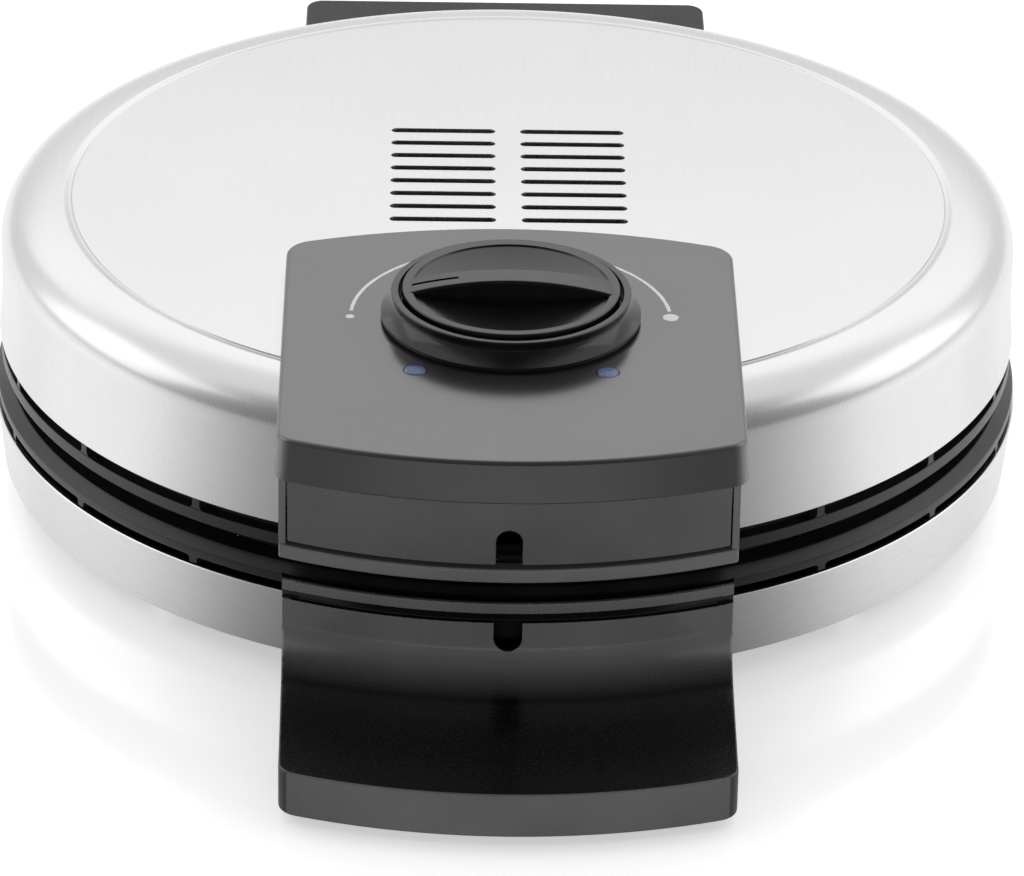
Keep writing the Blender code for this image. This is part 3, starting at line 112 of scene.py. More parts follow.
def lit_share(tree, way, stops):
    """How much light a side of the room has, by stops of (how far back it lies, share); on the floor this share is
    painted shade.
    """
    flat = node(tree, "VectorMath", {0: way, 1: (1, 1, 0)}, operation="MULTIPLY").outputs[0]
    unit = node(tree, "VectorMath", {0: flat}, operation="NORMALIZE").outputs[0]
    backward = node(tree, "SeparateXYZ", {0: unit}).outputs["Y"]
    ramp = node(tree, "ValToRGB", {"Fac": between(tree, backward, 0, 1, -1, 1)})
    ramp.color_ramp.interpolation = "EASE"
    for spare in ramp.color_ramp.elements[1:]:
        ramp.color_ramp.elements.remove(spare)
    for index, (back, share) in enumerate(stops):
        stop = ramp.color_ramp.elements.new((back + 1) / 2) if index else ramp.color_ramp.elements[0]
        stop.color = (share, share, share, 1)
    return ramp.outputs["Color"]


floor_finish, tree, shader = new_material("floor_finish", floor_roughness, IOR=1.8)
shader.inputs["Emission Color"].default_value = (1, 1, 1, 1)
path = node(tree, "LightPath").outputs
way = node(tree, "VectorMath", {0: node(tree, "TexCoord").outputs["Object"], 1: floor_painted_shade_middle},
           operation="SUBTRACT")
# Painted shade: away from the camera, the floor's colour and its glow in reflections are darkened towards the front.
shade = lit_share(tree, way.outputs[0], floor_painted_shade)
shaded = node(tree, "Math", {0: path["Is Camera Ray"], 1: shade}, operation="MAXIMUM").outputs[0]
colour = node(tree, "VectorMath", {0: floor_colour[:3], "Scale": shaded}, operation="SCALE")
tree.links.new(colour.outputs[0], shader.inputs["Base Color"])
lit = node(tree, "Math", {0: shade, 1: floor_reflected_glow}, operation="MULTIPLY").outputs[0]
mirrored = node(tree, "Math", {0: path["Is Glossy Ray"], 1: lit}, operation="MULTIPLY")
glow = node(tree, "Math", {0: path["Is Camera Ray"], 1: floor_glow, 2: mirrored.outputs[0]},
            operation="MULTIPLY_ADD")
tree.links.new(glow.outputs[0], shader.inputs["Emission Strength"])

bm = bmesh.new()
bmesh.ops.create_grid(bm, x_segments=1, y_segments=1, size=floor_reach)
floor_mesh = bpy.data.meshes.new("floor")
bm.to_mesh(floor_mesh)
bm.free()
floor_mesh.materials.append(floor_finish)
floor = bpy.data.objects.new("floor", floor_mesh)
bpy.context.scene.collection.objects.link(floor)


# The room is pale behind and overhead, dark in front, and white where it is seen.
# Large soft lamps stand behind the object and at its sides. One overhead and a low one
# in front only fill, and are not mirrored.
horizon_tone = (0.85, 0.85, 0.86, 1)
overhead_tone = (0.95, 0.95, 0.95, 1)
room_light = ((-1, 0.06), (-0.75, 0.28), (0, 1))
room_light_middle = (0, 0.2, 0)
lamps = {
    "top_lamp": ((0, 1.0, 2.3), (0, 0, 0), (1.8, 1.8), 3),
    "back_lamp": ((0, 1.3, 1.0), (0, 0, 0.05), (2.2, 0.7), 2.2),
    "left_lamp": ((-2.3, 0.5, 1.3), (0, 0, 0.05), (2.0, 1.8), 8),
    "right_lamp": ((2.3, 0.5, 1.3), (0, 0, 0.05), (2.0, 1.8), 8),
    "front_lamp": ((0, -1.8, 0.25), (0, 0, 0.04), (1.6, 0.3), 22),
}

world = bpy.data.worlds.new("studio")
bpy.context.scene.world = world
world.use_nodes = True
tree = world.node_tree
direction = node(tree, "TexCoord").outputs["Generated"]
upward = node(tree, "SeparateXYZ", {0: direction}).outputs["Z"]
room = node(tree, "ValToRGB", {"Fac": upward})
room.color_ramp.elements[0].color = horizon_tone
room.color_ramp.elements[1].color = overhead_tone
room.color_ramp.elements[1].position = 0.8
way = node(tree, "VectorMath", {0: direction, 1: room_light_middle}, operation="SUBTRACT").outputs[0]
shaded = lit_share(tree, way, room_light)
room = node(tree, "VectorMath", {0: room.outputs[0], "Scale": shaded}, operation="SCALE")
is_camera = node(tree, "LightPath").outputs["Is Camera Ray"]
tone = node(tree, "Mix", {0: is_camera, 6: room.outputs[0], 7: (1, 1, 1, 1)}, data_type="RGBA")
tree.links.new(tone.outputs[2], tree.nodes["Background"].inputs["Color"])

for name, (place, target, size, power) in lamps.items():
    lamp_data = bpy.data.lights.new(name, "AREA")
    lamp_data.shape = "RECTANGLE"
    lamp_data.size, lamp_data.size_y = size
    lamp_data.energy = power
    lamp = bpy.data.objects.new(name, lamp_data)
    aim = Vector(target) - Vector(place)
    lamp.matrix_world = Matrix.Translation(place) @ aim.to_track_quat("-Z", "Y").to_matrix().to_4x4()
    lamp.visible_glossy = name not in ("top_lamp", "front_lamp")
    bpy.context.scene.collection.objects.link(lamp)


# Base shell: a ring rolled from a strip of stainless steel, brushed along its length,
# a little wider at the top, with its foot turned in under the base cover.
housing_radius = 0.1175
sheet = 0.0012
slack = 0.0003
round_sides = 240
ring_low, ring_high = (corner.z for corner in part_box("base_shell"))
body_middle = Vector((0, sum(corner.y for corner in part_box("base_cover")) / 2, 0))
ring_foot_radius = housing_radius - 0.0004
ring_top_radius = housing_radius + 0.0012
hem_width = 0.0056
hem_round = 0.0007
front_notch = (0.015, 0.006, 0.016)
front_notch_height = 0.0195
steel_dark = (0.67, 0.669, 0.665, 1)
steel_light = (0.72, 0.719, 0.715, 1)
steel_gloss = (0.235, 0.285)
brush_width = 0.00014
brush_length = 0.03
brush_relief = 0.00000045
crisp_angle = math.radians(32)


def noise(tree, place, sizes, detail=2.0):
    """Noise whose spots are so many metres long along each axis."""
    scale = [1 / size if size else 0 for size in sizes]
    mapped = node(tree, "Mapping", {"Vector": place, "Scale": scale})
    return node(tree, "TexNoise", {"Vector": mapped.outputs[0], "Scale": 1, "Detail": detail}).outputs["Fac"]


def own_place(tree, centre=body_middle):
    """A point's place on the piece, measured from a centre."""
    place = node(tree, "TexCoord").outputs["Object"]
    return node(tree, "Mapping", {"Vector": place, "Location": -centre}).outputs[0]


def tones(tree, factor, dark, light, start=0.3, end=0.7):
    """Colours between two tones, along a factor."""
    ramp = node(tree, "ValToRGB", {"Fac": factor})
    ramp.color_ramp.elements[0].color = dark
    ramp.color_ramp.elements[0].position = start
    ramp.color_ramp.elements[1].color = light
    ramp.color_ramp.elements[1].position = end
    return ramp.outputs["Color"]


def relief(tree, factor, depth):
    """A bump so many metres deep."""
    return node(tree, "Bump", {"Height": factor, "Distance": depth, "Strength": 1}).outputs["Normal"]


def brushed(name, flat_place, along, dark=steel_dark, light=steel_light, gloss=steel_gloss):
    """Brushed sheet steel: long fine lines over slow clouds of tone."""
    made, tree, shader = new_material(name, gloss[0], 1.0)
    place = flat_place(tree)
    lines = noise(tree, place, along, 3.0)
    clouds = noise(tree, place, (0.06, 0.06, 0.06))
    mixed = node(tree, "Math", {0: lines, 1: 0.6, 2: node(
        tree, "Math", {0: clouds, 1: 0.4}, operation="MULTIPLY").outputs[0]}, operation="MULTIPLY_ADD")
    tree.links.new(tones(tree, mixed.outputs[0], dark, light), shader.inputs["Base Color"])
    tree.links.new(between(tree, lines, *gloss), shader.inputs["Roughness"])
    tree.links.new(relief(tree, lines, brush_relief), shader.inputs["Normal"])
    return made


def lathe(profile, sides=round_sides, centre=(0, 0), angle=math.tau):
    """Spin a profile of (radius, height) points round an upright axis."""
    bm = bmesh.new()
    verts = [bm.verts.new((centre[0] + radius, centre[1], height)) for radius, height in profile]
    edges = [bm.edges.new(pair) for pair in zip(verts, verts[1:] + verts[:1])
             if max(vert.co.x for vert in pair) > centre[0]]
    bmesh.ops.spin(bm, geom=verts + edges, cent=(*centre, 0), axis=(0, 0, 1), angle=angle,
                   steps=sides, use_merge=angle == math.tau)
    bmesh.ops.remove_doubles(bm, verts=bm.verts, dist=0.000002)
    flat_poles = [vert for vert in bm.verts if len(vert.link_edges) == sides
                  and all(abs(edge.other_vert(vert).co.z - vert.co.z) < 0.000001 for edge in vert.link_edges)]
    bmesh.ops.dissolve_verts(bm, verts=flat_poles)
    bmesh.ops.recalc_face_normals(bm, faces=bm.faces)
    return bm


def brick(size, middle):
    """A box of a size, about its middle."""
    bm = bmesh.new()
    place = Matrix.Translation(middle) @ Matrix.Diagonal((*size, 1))
    bmesh.ops.create_cube(bm, size=1, matrix=place)
    return bm


def mesh_of(bm):
    """Turn a mesh in the making into an object that is linked but not yet placed."""
    mesh = bpy.data.meshes.new("part")
    bm.to_mesh(mesh)
    bm.free()
    made = bpy.data.objects.new("part", mesh)
    bpy.context.scene.collection.objects.link(made)
    return made


def worked(bm, tools, how="DIFFERENCE"):
    """Cut tools from a mesh, or join them to it."""
    target = mesh_of(bm)
    together = bmesh.new()
    for tool in tools:
        solid = mesh_of(tool)
        together.from_mesh(solid.data)
        bpy.data.objects.remove(solid)
    cutter = mesh_of(together)
    change = target.modifiers.new("change", "BOOLEAN")
    change.object = cutter
    change.operation = how
    change.solver = "EXACT"
    result = bmesh.new()
    result.from_object(target, bpy.context.evaluated_depsgraph_get())
    bpy.data.objects.remove(cutter)
    bpy.data.objects.remove(target)
    bmesh.ops.remove_doubles(result, verts=result.verts, dist=0.000002)
    return result


def fitted(name, bm, body, slot, finish, *nodes):
    """Place a finished piece on the body, smooth it and hide the solids that it stands for."""
    bmesh.ops.translate(bm, vec=body_middle, verts=bm.verts)
    piece = mesh_of(bm)
    piece.name = piece.data.name = name
    piece.data.materials.append(finish)
    piece.data.shade_smooth()
    piece.data.set_sharp_from_angle(angle=crisp_angle)
    piece.modifiers.new("flat faces", "WEIGHTED_NORMAL").keep_sharp = True
    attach(piece, body)
    if nodes:
        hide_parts(*nodes)
    return piece


ring_steel = brushed("ring_steel", own_place, (0.05, 0.05, brush_width))
ring = lathe([
    (ring_foot_radius - hem_width, ring_low), (ring_foot_radius - hem_round, ring_low),
    (ring_foot_radius - hem_round * 0.3, ring_low + hem_round * 0.3),
    (ring_foot_radius, ring_low + hem_round), (ring_top_radius, ring_high - 0.0002),
    (ring_top_radius - 0.0002, ring_high), (ring_top_radius - sheet, ring_high),
    (ring_foot_radius - sheet, ring_low + sheet), (ring_foot_radius - hem_width, ring_low + sheet)])
notch = brick(front_notch, (0, -housing_radius, front_notch_height))
fitted("base_ring", worked(ring, [notch]), "base", "brushed_steel", ring_steel, "base_shell")


# Base cover and feet: a black moulded floor with vents, screwed up into the trim ring,
# and four rubber feet pressed onto it.
arc_fineness = 0.00002
cover_black = (0.018, 0.018, 0.019, 1)
cover_worn = (0.032, 0.032, 0.033, 1)
rubber_black = (0.014, 0.014, 0.014, 1)
rubber_dusty = (0.04, 0.039, 0.038, 1)
foot_edge = 0.0007


def moulded(name, dark, light, gloss, blotch, grain, depth, metallic=0.0, zone=None, **sockets):
    """A material whose tone drifts in blotches and whose gloss and relief follow a fine grain.

    A zone is (where, dark, light): a function for a mask, and the tones inside it.
    """
    made, tree, shader = new_material(name, gloss[0], metallic, **sockets)
    place = own_place(tree)
    drift = noise(tree, place, (blotch, blotch, blotch))
    fine = noise(tree, place, (grain, grain, grain), 3.0)
    colour = tones(tree, drift, dark, light)
    if zone:
        inside = tones(tree, drift, *zone[1:])
        colour = node(tree, "Mix", {0: zone[0](tree, place), 6: colour, 7: inside}, data_type="RGBA").outputs[2]
    tree.links.new(colour, shader.inputs["Base Color"])
    tree.links.new(between(tree, fine, *gloss), shader.inputs["Roughness"])
    tree.links.new(relief(tree, fine, depth), shader.inputs["Normal"])
    return made


def coated(finish, *nodes):
    """Give a finish to solids that are shown as they are."""
    for name in nodes:
        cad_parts[name].material_slots[0].material = finish


def softened(bm, offset, segments=2, sharp=math.radians(50), chosen=lambda edge: True):
    """Round the sharp edges of a mesh, or those of them that are chosen."""
    edges = [edge for edge in bm.edges if len(edge.link_faces) == 2
             and edge.calc_face_angle(0) > sharp and chosen(edge)]
    bmesh.ops.bevel(bm, geom=edges, offset=offset, offset_type="OFFSET", segments=segments,
                    profile=0.5, affect="EDGES", clamp_overlap=False, material=-1)
    return bm


cover_plastic = moulded("cover_plastic", cover_black, cover_worn, (0.42, 0.58), 0.03, 0.0006, 0.00003)
coated(cover_plastic, "base_cover")
foot_rubber = moulded("foot_rubber", rubber_black, rubber_dusty, (0.7, 0.9), 0.006, 0.0004, 0.00004)
for name in ("foot_front_left", "foot_front_right", "foot_rear_left", "foot_rear_right"):
    low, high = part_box(name)
    middle = (low + high) / 2 - body_middle
    radius = (high.x - low.x) / 2
    foot = lathe([(0, 0), (radius - foot_edge, 0), (radius, foot_edge), (radius, high.z), (0, high.z)],
                 48, (middle.x, middle.y))
    fitted(name + "_pad", softened(foot, 0.0003), "base", "rubber", foot_rubber, name)


# Trim ring of the base: one black moulding with a band, a row of narrow air windows
# between twenty posts under it, and a ledge on which the cooking plate sits.
post_count = 20
post_width = 0.002
post_depth = 0.0028
post_root = 0.0009
band_edge_round = 0.0003
lower_band = {"foot": 0.0239, "shoulder": 0.0259, "top": 0.0279, "radius": 0.1183, "rim": 0.1156}
seat_radius = 0.1111
ledge_radius = 0.101
skirt_radius = 0.114
skirt_wall = 0.002
ledge_thickness = 0.0025
lower_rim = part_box("lower_plate")[1].z
upper_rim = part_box("upper_plate")[0].z
plate_flange = 0.003
trim_black = (0.004, 0.004, 0.0042, 1)
trim_grey = (0.008, 0.008, 0.0083, 1)


def drawn(start, *moves):
    """A flat face drawn from a start by runs to (x, y) and by turns (centre x, centre y, angle)."""
    bm = bmesh.new()
    last = bm.verts.new((*start, 0))
    for move in moves:
        if len(move) == 2:
            point = bm.verts.new((*move, 0))
            bm.edges.new((last, point))
            last = point
            continue
        centre = Vector((move[0], move[1], 0))
        radius = (last.co - centre).length
        steps = math.ceil(abs(move[2]) / (2 * math.acos(1 - arc_fineness / radius)))
        arc = bmesh.ops.spin(bm, geom=[last], cent=centre, axis=(0, 0, 1), angle=move[2], steps=steps)
        last = [item for item in arc["geom_last"] if isinstance(item, bmesh.types.BMVert)][0]
    bmesh.ops.remove_doubles(bm, verts=bm.verts, dist=0.000002)
    ends = [vert for vert in bm.verts if len(vert.link_edges) == 1]
    if ends:
        bm.edges.new(ends)
    bmesh.ops.contextual_create(bm, geom=bm.edges[:])
    return bm


def risen(bm, low, high, turn=Matrix.Identity(4)):
    """Extrude a drawn face from one level to another, and turn the solid."""
    bmesh.ops.translate(bm, vec=(0, 0, low), verts=bm.verts)
    grown = bmesh.ops.extrude_face_region(bm, geom=bm.faces[:])["geom"]
    tops = [item for item in grown if isinstance(item, bmesh.types.BMVert)]
    bmesh.ops.translate(bm, vec=(0, 0, high - low), verts=tops)
    bmesh.ops.transform(bm, matrix=turn, verts=bm.verts)
    bmesh.ops.recalc_face_normals(bm, faces=bm.faces)
    return bm


# A drawing that is stood up faces the front; one that is turned sideways is seen from the right.
stood_up = Matrix.Rotation(math.pi / 2, 4, "X")
sideways = Matrix(((0, 0, 1, 0), (1, 0, 0, 0), (0, 1, 0, 0), (0, 0, 0, 1)))


def posts(band_face, free_end, radius, first=0):
    """Posts round a trim ring, from a band's face to a free end, with roots that flare."""
    way = 1 if band_face > free_end else -1
    reach = abs(band_face - free_end)
    half = post_width / 2
    made = []
    for index in range(first, post_count):
        post = drawn((-half, -reach), (half, -reach), (half, -post_root),
                     (half + post_root, -post_root, -math.pi / 2), (half + post_root, post_root),
                     (-half - post_root, post_root), (-half - post_root, 0),
                     (-half - post_root, -post_root, -math.pi / 2))
        bmesh.ops.scale(post, vec=(1, way, 1), verts=post.verts)
        bmesh.ops.translate(post, vec=(0, band_face, 0), verts=post.verts)
        turn = Matrix.Rotation(index * math.tau / post_count, 4, "Z") @ stood_up
        made.append(risen(post, radius - post_depth, radius, turn))
    return made


trim_plastic = moulded("trim_plastic", trim_black, trim_grey, (0.28, 0.4), 0.02, 0.0005, 0.000012)
lower_ledge = lower_rim - plate_flange - slack
band = lathe([
    (ledge_radius, lower_ledge - ledge_thickness), (skirt_radius - skirt_wall, lower_ledge - ledge_thickness),
    (skirt_radius - skirt_wall, ring_low + sheet + slack), (skirt_radius, ring_low + sheet + slack),
    (skirt_radius, lower_band["foot"]), (lower_band["radius"], lower_band["foot"]),
    (lower_band["radius"], lower_band["shoulder"]), (lower_band["rim"], lower_band["top"]),
    (seat_radius, lower_band["top"]), (seat_radius, lower_ledge), (ledge_radius, lower_ledge)])
band = softened(band, band_edge_round, 2, math.radians(30))
band = worked(band, posts(lower_band["foot"], ring_high + slack, lower_band["radius"] - 0.0002), "UNION")
fitted("base_band", band, "base", "trim_plastic", trim_plastic, "base_trim_ring")


# Cooking plates: cast aluminium with a dark non-stick coating, five heart moulds with
# their tips to the middle, and blunt studs in the moulds that print the waffle.
plate_radius = 0.1105
plate_body_radius = 0.098
heart_floor = 0.0222
heart_tip = 0.0105
lobe_distance = 0.066
lobe_spread = 0.019
lobe_radius = 0.0215
heart_fillet = 0.0014
heart_rim_round = 0.0007
stud_pitch = 0.0125
stud_foot = 0.0064
stud_top = 0.0048
stud_height = 0.0045
stud_margin = 0.0055
coating_black = (0.004, 0.004, 0.0043, 1)
coating_grey = (0.012, 0.012, 0.0125, 1)
coating_fleck = (0.8, 0.8, 0.81, 1)
rim_line = 0.0297


def coating(name):
    """Non-stick coating: dark, slightly pebbled, with fine bright flecks."""
    made, tree, shader = new_material(name, 0.36, 0.0)
    place = own_place(tree)
    pebbles = noise(tree, place, (0.0009,) * 3, 3.0)
    clouds = tones(tree, noise(tree, place, (0.02,) * 3), coating_black, coating_grey)
    cells = node(tree, "TexVoronoi", {"Vector": place, "Scale": 2000})
    fleck = node(tree, "Math", {0: cells.outputs["Color"], 1: 0.86}, operation="GREATER_THAN")
    near = node(tree, "Math", {0: cells.outputs["Distance"], 1: 0.28}, operation="LESS_THAN")
    both = node(tree, "Math", {0: fleck.outputs[0], 1: near.outputs[0]}, operation="MULTIPLY")
    mixed = node(tree, "Mix", {0: both.outputs[0], 6: clouds, 7: coating_fleck}, data_type="RGBA")
    tree.links.new(mixed.outputs[2], shader.inputs["Base Color"])
    tree.links.new(between(tree, pebbles, 0.3, 0.46), shader.inputs["Roughness"])
    tree.links.new(relief(tree, pebbles, 0.00005), shader.inputs["Normal"])
    return made


def heart(tip, radius):
    """A heart's flat outline, its tip near the middle and its lobes outwards."""
    reach = lobe_distance - tip
    side = math.atan2(lobe_spread, reach) + math.asin(radius / math.hypot(lobe_spread, reach))
    notch = math.acos(lobe_spread / radius)
    touch = (lobe_spread + radius * math.cos(side), lobe_distance - radius * math.sin(side))
    return drawn((0, tip), touch, (lobe_spread, lobe_distance, math.pi - notch + side),
                 (-lobe_spread, lobe_distance, math.pi - notch + side))


def in_heart(x, y):
    """Whether a stud at a place stands clear of the mould's wall."""
    room = lobe_radius - stud_margin
    lobes = math.hypot(abs(x) - lobe_spread, y - lobe_distance) < room
    side = math.atan2(lobe_spread, lobe_distance - heart_tip) + math.asin(
        lobe_radius / math.hypot(lobe_spread, lobe_distance - heart_tip))
    depth = (y - heart_tip) * math.sin(side) - abs(x) * math.cos(side)
    far = lobe_distance + (0 if abs(x) > lobe_spread else room * 0.4)
    return lobes or (depth > stud_margin and y < far)


def cooking_plate():
    """The lower plate, from which the upper one is mirrored."""
    disc = lathe([(0, lower_rim - 0.0109), (plate_body_radius, lower_rim - 0.0109),
                  (plate_body_radius, lower_rim - plate_flange), (plate_radius, lower_rim - plate_flange),
                  (plate_radius, lower_rim), (0, lower_rim)])
    disc = softened(disc, 0.0005)
    turns = [Matrix.Rotation(math.pi + index * math.tau / 5, 4, "Z") for index in range(5)]
    moulds = []
    for turn in turns:
        mould = risen(heart(heart_tip, lobe_radius), heart_floor, lower_rim + 0.002)
        floor_edges = lambda edge: all(vert.co.z < heart_floor + 0.0001 for vert in edge.verts)
        softened(mould, heart_fillet, 4, chosen=floor_edges)
        bmesh.ops.transform(mould, matrix=turn, verts=mould.verts)
        moulds.append(mould)
    plate = worked(disc, moulds)
    at_rim = lambda edge: all(abs(vert.co.z - lower_rim) < 0.00005 and vert.co.xy.length < plate_body_radius
                              for vert in edge.verts)
    softened(plate, heart_rim_round, 3, chosen=at_rim)
    studs = []
    for turn in turns:
        for column in range(-4, 5):
            for row in range(9):
                x, y = column * stud_pitch, heart_tip + row * stud_pitch
                if not in_heart(x, y):
                    continue
                stud = bmesh.new()
                place = Matrix.Translation((x, y, heart_floor + stud_height / 2 - 0.0002))
                bmesh.ops.create_cone(stud, cap_ends=True, segments=4, radius1=stud_foot * math.sqrt(0.5),
                                      radius2=stud_top * math.sqrt(0.5), depth=stud_height + 0.0004,
                                      matrix=turn @ place @ Matrix.Rotation(math.pi / 4, 4, "Z"))
                studs.append(softened(stud, 0.0005, 2, math.radians(40)))
    return worked(plate, studs, "UNION")


plate_coating = coating("plate_coating")
fitted("lower_cooking_plate", cooking_plate(), "base", "coated_plate", plate_coating, "lower_plate")
upper_plate = cooking_plate()
bmesh.ops.scale(upper_plate, vec=(1, 1, -1), verts=upper_plate.verts)
bmesh.ops.translate(upper_plate, vec=(0, 0, lower_rim + upper_rim), verts=upper_plate.verts)
bmesh.ops.reverse_faces(upper_plate, faces=upper_plate.faces)
fitted("upper_cooking_plate", upper_plate, "lid", "coated_plate", plate_coating, "upper_plate")


# Handle of the base: a black moulding with a wall, a hollow for the fingers and a long
# low lip. It is ribbed underneath and screwed to the base from inside.
wall_radius = 0.121
lip_radius = 0.1217
base_inner_wall = 0.119
handle_half = 0.0486
handle_flare = 0.0009
handle_wall = 0.003
handle_end = (-0.1793, 0.135, 0.005)
handle_pocket_end = (-0.1763, 0.132, 0.002)
handle_foot = 0.002
handle_top = 0.0124
lip_top = 0.0268
lip_foot = 0.0243
groove_foot = 0.0217
groove_radius = 0.1198
hollow_reach = 0.016
hollow_top = 0.016
hollow_floor = 0.010
hollow_steps = 14
lip_inner = 0.1753
base_slot_half = 0.00315
base_slot_foot = 0.0148
handle_round = 0.0005
fine_round = 0.0003
handle_black = (0.0012, 0.0012, 0.0013, 1)
handle_grey = (0.0026, 0.0026, 0.0028, 1)
# Painted light: the front face, wall and lip are painted paler than the black hollow, and the wall's tone fades to
# black down into the hollow and in the groove as painted shade.
handle_painted_lit_dark = (0.07, 0.07, 0.071, 1)
handle_painted_lit_light = (0.09, 0.09, 0.091, 1)
handle_face_depth = 0.0004
wall_painted_shade_fade = (0.1238, 0.1345)


def bowed(half, front, back):
    """Plan of a piece whose ends bow outwards: each end is (edge, bow, corner), or a plain edge."""
    moves = []
    for way, end in ((-1, front), (1, back)):
        if not isinstance(end, tuple):
            moves += [(way * half, end), (-way * half, end)]
            continue
        edge, bow, corner = end
        centre = edge - way * bow
        tilt = math.asin((half - corner) / (bow - corner))
        turn = centre + way * (bow - corner) * math.cos(tilt)
        moves += [(way * half, turn), (way * (half - corner), turn, math.pi / 2 - tilt),
                  (0, centre, 2 * tilt), (way * (corner - half), turn, math.pi / 2 - tilt)]
    return drawn(moves[0], *moves[1:])


def arched_slot(half, straight_end, round_end, near, far):
    """Cutter for an upright slot with one round end, through the front."""
    way = 1 if round_end > straight_end else -1
    centre = round_end - way * half
    slot = drawn((-way * half, straight_end), (way * half, straight_end), (way * half, centre),
                 (0, centre, math.pi))
    return risen(slot, near, far, stood_up)


def at_painted_lit_faces(tree, place):
    """1 on the handle's bowed front face and its wall and lip, painted paler than the hollow as painted light; it
    fades to 0 down the hollow and is 0 in the groove, as painted shade.
    """
    centre = node(tree, "VectorMath", {0: place, 1: (0, handle_end[0] + handle_end[1], 0)}, operation="SUBTRACT")
    flat = node(tree, "VectorMath", {0: centre.outputs[0], 1: (1, 1, 0)}, operation="MULTIPLY")
    radius = node(tree, "VectorMath", {0: flat.outputs[0]}, operation="LENGTH").outputs["Value"]
    face = handle_end[1]
    front = between(tree, radius, 0, 1, face - handle_face_depth, face - handle_face_depth / 2)
    upright = node(tree, "VectorMath", {0: place, 1: (1, 1, 0)}, operation="MULTIPLY").outputs[0]
    reach = node(tree, "VectorMath", {0: upright}, operation="LENGTH").outputs["Value"]
    outside = between(tree, reach, 0, 1, wall_radius - 2 * arc_fineness - slack, wall_radius - 2 * arc_fineness)
    wall = node(tree, "Math", {0: outside, 1: between(tree, reach, 1, 0, *wall_painted_shade_fade)}, operation="MULTIPLY").outputs[0]
    height = node(tree, "SeparateXYZ", {0: place}).outputs["Z"]
    middle = (groove_foot + lip_foot) / 2
    groove = node(tree, "Math", {0: height, 1: middle, 2: middle - groove_foot}, operation="COMPARE").outputs[0]
    solid = node(tree, "Math", {0: wall, 1: groove}, operation="SUBTRACT").outputs[0]
    return node(tree, "Math", {0: front, 1: solid}, operation="MAXIMUM").outputs[0]


# Painted light and shade: the zone paints the front faces pale and leaves the hollow and groove black.
handle_plastic = moulded("handle_plastic", handle_black, handle_grey, (0.22, 0.3), 0.03, 0.00045, 0.000004,
                         zone=(at_painted_lit_faces, handle_painted_lit_dark, handle_painted_lit_light), IOR=1.6)
hollow = []
for step in range(hollow_steps + 1):
    angle = math.pi / 2 * step / hollow_steps
    hollow.append((wall_radius + hollow_reach * (1 - math.cos(angle)),
                   hollow_top - (hollow_top - hollow_floor) * math.sin(angle)))
above = lathe([(lip_radius, 0.03), (lip_radius, lip_foot), (groove_radius, lip_foot),
               (groove_radius, groove_foot), (wall_radius, groove_foot)] + hollow
              + [(lip_inner, handle_top), (0.25, handle_top), (0.25, 0.03)])
inside = lathe([(0, -0.01), (base_inner_wall, -0.01), (base_inner_wall, 0.05), (0, 0.05)])
handle = risen(bowed(handle_half, handle_end, -0.1), handle_foot, lip_top)
handle_root = -math.sqrt(wall_radius ** 2 - handle_half ** 2)


def half_at(y):
    """Half the handle's width, which grows a little towards the body."""
    return handle_half + handle_flare * min(1, (y - handle_end[0]) / (handle_root - handle_end[0]))


for vert in handle.verts:
    vert.co.x *= half_at(vert.co.y) / handle_half
handle = worked(handle, [above, inside])
softened(handle, handle_round, 3, math.radians(40), lambda edge: all(
    hollow_floor - 0.0012 < vert.co.z and vert.co.xy.length > wall_radius - 0.0001
    and (vert.co.z < groove_foot - 0.0001 or vert.co.z < lip_foot - 0.0001 and abs(vert.co.x) > handle_half - 0.0001)
    for vert in edge.verts))
softened(handle, fine_round, 2, math.radians(60), lambda edge: all(
    vert.co.z > hollow_top + 0.0001 and abs(vert.co.x) < handle_half - 0.0001 for vert in edge.verts))
softened(handle, 0.0007, 3, math.radians(60), lambda edge: all(
    vert.co.z < handle_foot + 0.0001 for vert in edge.verts))
for vert in handle.verts:
    vert.co.x = max(-half_at(vert.co.y), min(half_at(vert.co.y), vert.co.x))
pocket = risen(bowed(handle_half - handle_wall, handle_pocket_end, -0.124), -0.01, hollow_floor - handle_wall)
ribs = [brick((0.002, 0.1, 0.05), (x, -0.15, 0)) for x in (-0.0229, 0, 0.0229)]
slot = arched_slot(base_slot_half, groove_foot, base_slot_foot, housing_radius, wall_radius + 0.008)
handle = worked(handle, [worked(pocket, ribs), slot])
fitted("base_grip", handle, "base", "dark_plastic", handle_plastic, "base_handle")


# Hinge block of the base: a black moulding with two ears for the hinge pins, and a rubber
# bush in its rear face for the mains lead.
hinge_half = 0.0492
hinge_back = 0.13
hinge_corner = 0.004
hinge_front = 0.1
knuckle_radius = 0.006
ear_width = 0.0066
cover_level = 0.0039
parting = (lower_rim + upper_rim) / 2
bush_ribs = 3
bush_edge = 0.0003
hinge_black = (0.006, 0.006, 0.0063, 1)
hinge_worn = (0.011, 0.011, 0.0113, 1)


def hinge_plan():
    """Both hinge blocks seen from above, before they are fitted to the body."""
    far = hinge_half - hinge_corner
    centre = hinge_back - hinge_corner
    return drawn((hinge_half, hinge_front), (hinge_half, centre), (far, centre, math.pi / 2),
                 (-far, hinge_back), (-far, centre, math.pi / 2), (-hinge_half, hinge_front))


def knuckle(flat_end, low, high):
    """A knuckle round the hinge's axis, square at the end that joins its block."""
    axis = hinge_back - knuckle_radius
    way = 1 if flat_end < parting else -1
    side = drawn((axis - way * knuckle_radius, flat_end), (axis + way * knuckle_radius, flat_end),
                 (axis + way * knuckle_radius, parting), (axis, parting, math.pi))
    return risen(side, low, high, sideways)


